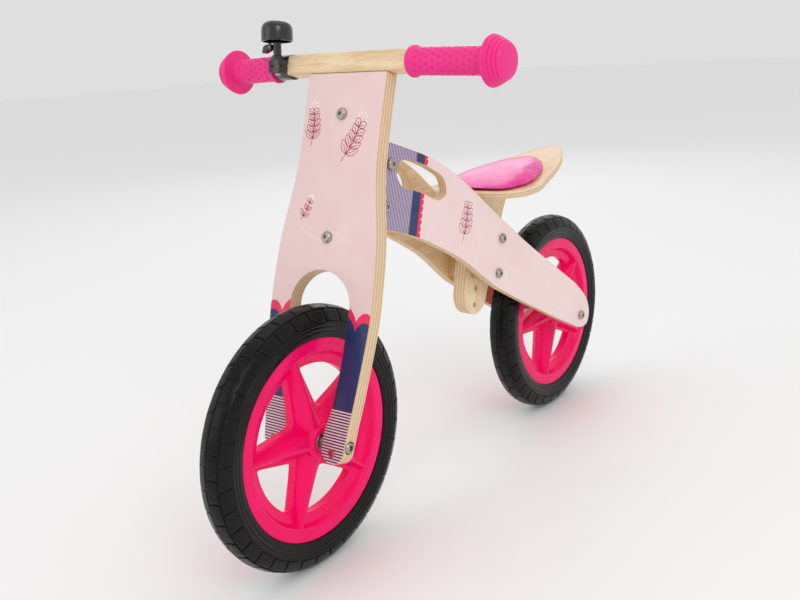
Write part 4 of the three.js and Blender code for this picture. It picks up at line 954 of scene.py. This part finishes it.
# ---- handlebar, grips ----
def handlebar():
    """A bar squared in the middle and round at its ends, which droop past the bends."""
    rings = []
    stations = [-189, -150, -120, -97, -93, -89.5, -87.5, -86, -84, -70, -40, 0, 40, 70, 76, 78, 79.5,
                81.5, 85, 89, 120, 150, 189]
    for x in stations:
        over = abs(x) - (86 if x < 0 else 78)
        square = 1.0 if over <= 0 else max(0.0, 1 - over / 8)
        square = square * square * (3 - 2 * square)
        drop = max(0.0, abs(x) - BAR_BEND) * tan(DROOP)
        ring = []
        for i in range(48):
            t = 2 * pi * (i + 0.5) / 48
            c, s = cos(t), sin(t)
            power = 2 / (2 + 5.5 * square)
            y = copysign(abs(c) ** power, c) * (BAR_RADIUS + 0.2 * square)
            z = copysign(abs(s) ** power, s) * (BAR_RADIUS + 0.5 * square)
            ring.append((x, y, z - drop))
        rings.append(ring)
    obj = shape("handlebar_shaped", [loft(rings)], fork_at(0, 0, BAR_AXIS), 40)
    stand_in(dress(obj, BAR_WOOD), "handlebar")


handlebar()


def bar_end(sign, along):
    """Frame on the drooping bar end, its x axis pointing outward."""
    base = fork_at(sign * BAR_BEND, 0, BAR_AXIS) @ Matrix.Rotation(sign * DROOP, 4, "Y")
    return aim(base @ shift(sign * along), "+x" if sign > 0 else "-x")


GRIP_RADIUS = 14.3
DIMPLES, DIMPLE_SPACING, DIMPLE_RADIUS = 12, 7.48, 2.3


def grip(side, sign, start):
    """Grip from a distance along the bar to its end, with rows of dimples, three ridges and a guard."""
    length = BAR_REACH - start
    first, last = 11.0, length - 30.0
    rows = max(3, round((last - first) / 7.3))
    pitch = (last - first) / rows

    def dimples(angle, a):
        if not first - 3 < a < last + 3:
            return 0.0
        row = round((a - first) / pitch)
        off = (a - first) / pitch - row
        turn = angle / (2 * pi) * DIMPLES + (0.5 if row % 2 else 0.0)
        spot = hypot(off * pitch, (turn - round(turn)) * DIMPLE_SPACING)
        return -1.5 * min(1.0, (DIMPLE_RADIUS - spot) / 0.9) if spot < DIMPLE_RADIUS else 0.0

    profile = [(length - 6, 0.5), (length - 6, 11.0), (0, 11.1), (0, 15.3), (0.5, 16.2), (1.2, 16.5),
               (4.2, 16.5), (5.2, 16.0), (6.4, 14.8), (7.6, GRIP_RADIUS)]
    a = 8.6
    while a < length - 27:
        profile.append((a, GRIP_RADIUS))
        a += 0.9
    for k in range(3):
        ridge = length - 26.5 + k * 1.9
        profile += [(ridge, 14.2), (ridge + 0.5, 14.9), (ridge + 1.1, 14.9), (ridge + 1.5, 14.2)]
    guard = [(20.6, 15.6), (20.0, 19.5), (19.5, 24.4), (19.1, 25.4), (18.4, 25.6), (17.4, 25.6),
             (16.6, 25.1), (16.2, 24.3)]
    steps = [(15.5, 24.2, 24.7, 24.0, 22.3), (11.7, 22.1, 22.7, 22.0, 20.4), (7.9, 20.2, 20.8, 20.1, 18.6)]
    for back, foot, crest, brow, drop in steps:
        guard += [(back, foot), (back - 0.5, crest), (back - 2.5, brow), (back - 3, drop)]
    guard += [(4.1, 18.4), (3.6, 19.0), (2.4, 18.3), (1.0, 17.0), (0.25, 15.4), (0, 13.5), (0, 0.5)]
    profile += [(length - back, r) for back, r in guard]
    place = bar_end(sign, start - BAR_BEND)
    obj = shape("grip_moulded_" + side, [turned(profile, 96, lift=dimples)], place, 50)
    stand_in(settle(dress(obj, GRIP)), "grip_" + side)


grip("left", 1, 79.5)
grip("right", -1, 110.0)

# ---- bell ----
BELL_ALONG, BELL_TILT = 27.5, radians(10)
BELL = (fork_at(-BAR_BEND, 0, BAR_AXIS) @ Matrix.Rotation(-DROOP, 4, "Y") @ shift(-BELL_ALONG)
        @ Matrix.Rotation(BELL_TILT, 4, "X"))
STEM_Y = -17.0


def upright(y, z):
    """Frame at a point of the bell whose x axis points up its stem."""
    return aim(BELL @ shift(0, y, z), "+z")


def slab(outline, levels):
    """Upright plate of the bell: an (x, z) outline at each y, measured from the stem."""
    return loft([[(x, STEM_Y + y, z) for x, z in outline] for y in levels])


def bell():
    band = soften([(-10, 11.15), (-10, 14.1), (10, 14.1), (10, 11.15)], 0.8)
    ear = soften([(10, -12), (10, -23.8), (-10, -23.8), (-10, -12)], 3.2)
    for node, start, end, low, high in (("bell_bracket", 4, 176, 0.8, 7.0),
                                        ("bell_strap", 184, 356, -7.0, -0.8)):
        # Angles run from the local y axis toward z, so 0 to 180 degrees is the upper half.
        lug = loft([[(x, y, z) for x, y in ear] for z in (low, low + 0.5, high - 0.5, high)])
        pieces = [swept(band, start, end), lug]
        if node == "bell_bracket":
            stem = turned([(6, 6.2), (11.4, 6.2), (12, 5.6), (12, 4.6), (48.4, 4.6)], 48)
            pieces.append(([(z, y + STEM_Y, x) for x, y, z in stem[0]], stem[1]))
            hinge = soften([(-10.2, 19.4), (0, 19.4), (0, 24.6), (-10.2, 24.6)], 2.2)
            pieces.append(slab(hinge, (-2, 2)))
        obj = shape(node + "_band", pieces, BELL)
        stand_in(settle(dress(obj, BLACK)), node)
    dome = [(0, 16.4), (13, 16.4), (19.2, 11.5), (21.2, 6.4), (21.3, 0.4), (23, 0.4), (22.93, 4), (22.4, 8.2),
            (21.3, 12.2), (19.6, 14.9), (17.2, 16.7), (14, 17.6), (11, 17.95), (0.6, 18), (0, 17.6)]
    obj = shape("bell_dome_turned", [turned(dome, 96, closed=True)], upright(STEM_Y, 27.5), 30)
    stand_in(settle(dress(obj, BLACK)), "bell_dome")
    tab = soften([(-20.5, 15.5), (-10.6, 19), (-10.6, 25.5), (-18, 23.5)], 1.8)
    cheek = soften([(-11, 18.5), (-5.5, 18.5), (-5.5, 25.5), (-11, 25.5)], 2.4)
    striker = [(-12.6, 23), (-10.8, 23), (-10.8, 36), (-12.6, 36)]
    pieces = [slab(tab, (-4.3, -3.6, 3.6, 4.3)), slab(cheek, (2.3, 4.3)), slab(cheek, (-4.3, -2.3)),
              slab(striker, (-1.6, 1.6))]
    verts, faces = turned([(-13.8, 1.6), (-13.4, 2.2), (-10.8, 2.2), (-10.4, 1.6)], 24)
    pieces.append(([(x, y + STEM_Y, z + 36.5) for x, y, z in verts], faces))
    obj = shape("bell_lever_moulded", pieces, BELL)
    stand_in(dress(obj, BLACK), "bell_lever")
    pin = turned([(-5.4, 0.8), (-5.1, 1.2), (5.1, 1.2), (5.4, 0.8)], 24)
    obj = shape("bell_lever_pin_turned", [pin], aim(BELL @ shift(-7.6, STEM_Y, 22), "+y"))
    stand_in(dress(obj, STEEL), "bell_lever_pin")
    screw = aim(BELL @ shift(0, STEM_Y, -7.3), "-z")
    fastener("bell_clamp_screw_head", "bell_clamp_screw", screw, 3.6, 2.7, 2.0, 16, 1.6)


bell()

# ---- seat ----
SEAT_RISE = [(-70, 1.6), (-45, .8), (-20, .1), (0, 0), (20, .5), (40, 2), (60, 5), (85, 9.5), (112, 15),
             (140, 20.5), (165, 25), (205, 31)]
SEAT_CURVE = spline(SEAT_RISE, 8)
SEAT_PLAN = [(-.239, 0), (-.235, .4), (-.22, .64), (-.197, .8), (-.159, .92), (-.11, .987), (-.05, 1),
             (.02, .993), (.1, .94), (.174, .867), (.265, .8), (.345, .75), (.432, .675), (.523, .56),
             (.61, .413), (.686, .267), (.739, .12), (.761, 0)]
PAD_PLAN = [(-.227, 0), (-.2235, .4), (-.216, .645), (-.197, .81), (-.155, .935), (-.095, .99), (0, 1),
            (.076, .985), (.189, .887), (.303, .742), (.398, .532), (.458, .29), (.477, .13), (.483, 0)]
SEAT_LENGTH, SEAT_HALF, SHELL_HALF = 264.0, 75.0, 4.0
PAD_HALF, PAD_RISE = 60.0, 17.0


def seat_rise(behind):
    """Height of the shell's top over its lowest line, at a distance behind it."""
    for (a, za), (b, zb) in zip(SEAT_CURVE, SEAT_CURVE[1:]):
        if behind <= b:
            return za + (zb - za) * (behind - a) / (b - a)
    return SEAT_CURVE[-1][1]


def plan_loop(plan, half):
    """Outline from (share of the seat's length, share of the half width) pairs."""
    right = spline([(w * half, s * SEAT_LENGTH) for s, w in plan], 4)
    return right + [(-x, y) for x, y in reversed(right[1:-1])]


def seat_shell():
    obj = plate("seat_shell_bent", plan_loop(SEAT_PLAN, SEAT_HALF), [], SHELL_HALF,
                shift(0, SEAT_Y, SEAT_Z - SHELL_HALF), 1.3)
    dress(obj, SEAT_FACE, BARE_UP, EDGE_SEAT)
    bm = bmesh.new()
    bm.from_mesh(obj.data)
    for step in range(-58, 200, 6):
        geometry = list(bm.verts) + list(bm.edges) + list(bm.faces)
        bmesh.ops.bisect_plane(bm, geom=geometry, plane_co=(0, step * MM, 0), plane_no=(0, 1, 0))
    for v in bm.verts:
        v.co.z += seat_rise(v.co.y / MM) * MM
    bm.to_mesh(obj.data)
    bm.free()
    obj.data.set_sharp_from_angle(angle=radians(35))
    stand_in(obj, "seat_shell")


seat_shell()


def pad_ring(share, height):
    """Outline of the pad at a share of its plan, lifted by a share of its crest; it slumps fore and aft."""
    ring = []
    middle = SEAT_LENGTH * 0.13
    for x, y in plan_loop(PAD_PLAN, PAD_HALF):
        px, py = x * share, middle + (y - middle) * share
        reach = (py - middle) / (SEAT_LENGTH * 0.36)
        slump = 1 - (0.38 if reach > 0 else 0.86) * min(abs(reach), 1.0) ** 1.25
        ring.append((px, py, seat_rise(py) + 0.4 + height * PAD_RISE * slump))
    return ring


def seat_pad():
    crown = [(0.35, 0), (0.93, 0), (0.975, 0.08), (0.985, 0.2), (0.97, 0.42), (0.92, 0.66), (0.8, 0.86),
             (0.62, 0.95), (0.42, 0.99), (0.2, 1.0), (0.05, 1.0)]
    rings = [pad_ring(share, height) for share, height in crown]
    obj = dress(shape("seat_pad_cover", [loft(rings)], shift(0, SEAT_Y, SEAT_Z), 80), VINYL)
    inflate(obj)
    stand_in(obj, "seat_pad")


def inflate(obj, cap=4.0):
    """Cloth run that swells the cover, its underside held where it is glued to the shell."""
    remesh = obj.modifiers.new("remesh", "REMESH")
    remesh.mode = "VOXEL"
    remesh.voxel_size = 0.0045
    remesh.use_smooth_shade = True
    mesh = fixed(obj)
    rest = [v.co.copy() for v in mesh.vertices]
    held = obj.vertex_groups.new(name="glued")
    for v in mesh.vertices:
        over = v.co.z / MM - seat_rise(v.co.y / MM)
        weight = 1.0 if over < 1.6 else max(0.0, 1 - (over - 1.6) / 3.0)
        if weight:
            held.add([v.index], weight, "REPLACE")
    cloth = obj.modifiers.new("cloth", "CLOTH")
    cloth.settings.vertex_group_mass = "glued"
    cloth.settings.use_pressure = True
    cloth.settings.uniform_pressure_force = 4.0
    cloth.settings.effector_weights.gravity = 0.0
    cloth.settings.quality = 5
    for number in range(1, 21):
        SCENE.frame_set(number)
    for v, start in zip(fixed(obj).vertices, rest):
        step = v.co - start
        if step.length > cap * MM:
            v.co = start + step.normalized() * cap * MM
    SCENE.frame_set(1)
    obj.vertex_groups.clear()
    relax = obj.modifiers.new("relax", "SMOOTH")
    relax.iterations = 4
    relax.factor = 0.5
    finer = obj.modifiers.new("finer", "SUBSURF")
    finer.levels = finer.render_levels = 1
    fixed(obj).shade_smooth()


seat_pad()


def seat_post():
    along = (POST_UPPER - POST_LOWER).normalized()
    across = Vector((along.y, -along.x))

    def point(up, back):
        return POST_LOWER + along * up + across * back

    end = point(-30.07, 0.4)
    angle = degrees(atan2(along.y, along.x)) - 90
    foot = arc(end.x, end.y, POST_WIDTH / 2, angle + 180, angle + 360, 32)
    roof = SEAT_Z - 8.3
    under = [(SEAT_Y + d, roof + seat_rise(d)) for d in (40, 30, 20, 10, 0, -10, -20, -35, -50)]
    outline = [*foot, (SEAT_Y + 24, roof - 35), (SEAT_Y + 40, roof - 8), *under]
    holes = [arc(*point(k * POST_HOLE_PITCH, 0), 3.3, 0, 360, 20)[:-1] for k in (2, -1, -2)]
    obj = plate("seat_post_shaped", soften(outline, 4, True, 4, 0.5), holes, POST_HALF, SIDE_PLATE, 0.9)
    stand_in(dress(obj, POST_FACE, POST_FACE, EDGE_18), "seat_post")


seat_post()

# ---- CAD pieces that stay, given softened edges and real finishes; the wooden blocks' darker tone is painted shade ----
for names, material, slot, width in (
    (("head_block", "upper_steering_block", "lower_steering_block", "post_spacer_left", "post_spacer_right"),
     SHADED_BLOCK_WOOD, "birch", 0.8),
    (("upper_barrel_nut", "lower_barrel_nut", "steering_pin", "steering_pin_nut", "seat_screw_1",
      "seat_screw_2", "seat_screw_3"), STEEL, "steel", 0.3),
    (("head_bushing_lower", "head_bushing_upper"), NYLON, "nylon", 0.3),
):
    for name in names:
        node = frame["nodes"][name]
        node.data.materials.clear()
        node.data.materials.append(material)
        rounded(node, width, 3, 35).harden_normals = True
        smooth(node.data, 30)


# ---- floor, light and camera ----
def stage():
    bpy.ops.mesh.primitive_plane_add(size=30, location=(0, 0, 0))
    floor = bpy.context.object
    floor.name = "floor"
    f = Finish("floor_white", 0.7, specular=0.2)
    f.colour(rgb(250, 250, 250))
    floor.data.materials.append(f.material)
    world = bpy.data.worlds.new("studio")
    SCENE.world = world
    world.use_nodes = True
    sky = world.node_tree.nodes["Background"]
    sky.inputs["Color"].default_value = (1, 1, 1, 1)
    sky.inputs["Strength"].default_value = 0.74
    lights = [("key", (2.2, -1.6, 2.4), 1.6, 20), ("front", (-1.4, -2.6, 1.5), 1.8, 8),
              ("top", (0.2, 0.4, 3.0), 2.2, 8), ("rear", (-1.6, 2.4, 1.8), 1.5, 7)]
    for name, place, size, power in lights:
        light = bpy.data.lights.new(name, "AREA")
        light.shape = "SQUARE"
        light.size = size
        light.energy = power
        lamp = linked(name + "_light", light)
        lamp.location = place
        lamp.rotation_euler = (Vector((0, 0, 0.3)) - Vector(place)).to_track_quat("-Z", "Y").to_euler()


def camera():
    azimuth, pitch, roll = radians(37.71), radians(15.33), radians(-3.53)
    level = cos(pitch)
    forward = Vector((-sin(azimuth) * level, cos(azimuth) * level, -sin(pitch)))
    right = Vector((cos(azimuth), sin(azimuth), 0))
    up = right.cross(forward)
    side = right * cos(roll) + up * sin(roll)
    top = up * cos(roll) - right * sin(roll)
    data = bpy.data.cameras.new("camera")
    data.lens = 41.73
    data.sensor_width = 36
    obj = linked("camera", data)
    obj.matrix_world = axes(side, top, -forward, (662.1, -950.5, 555.1))
    SCENE.camera = obj


stage()
camera()
SCENE.view_settings.view_transform = "Standard"
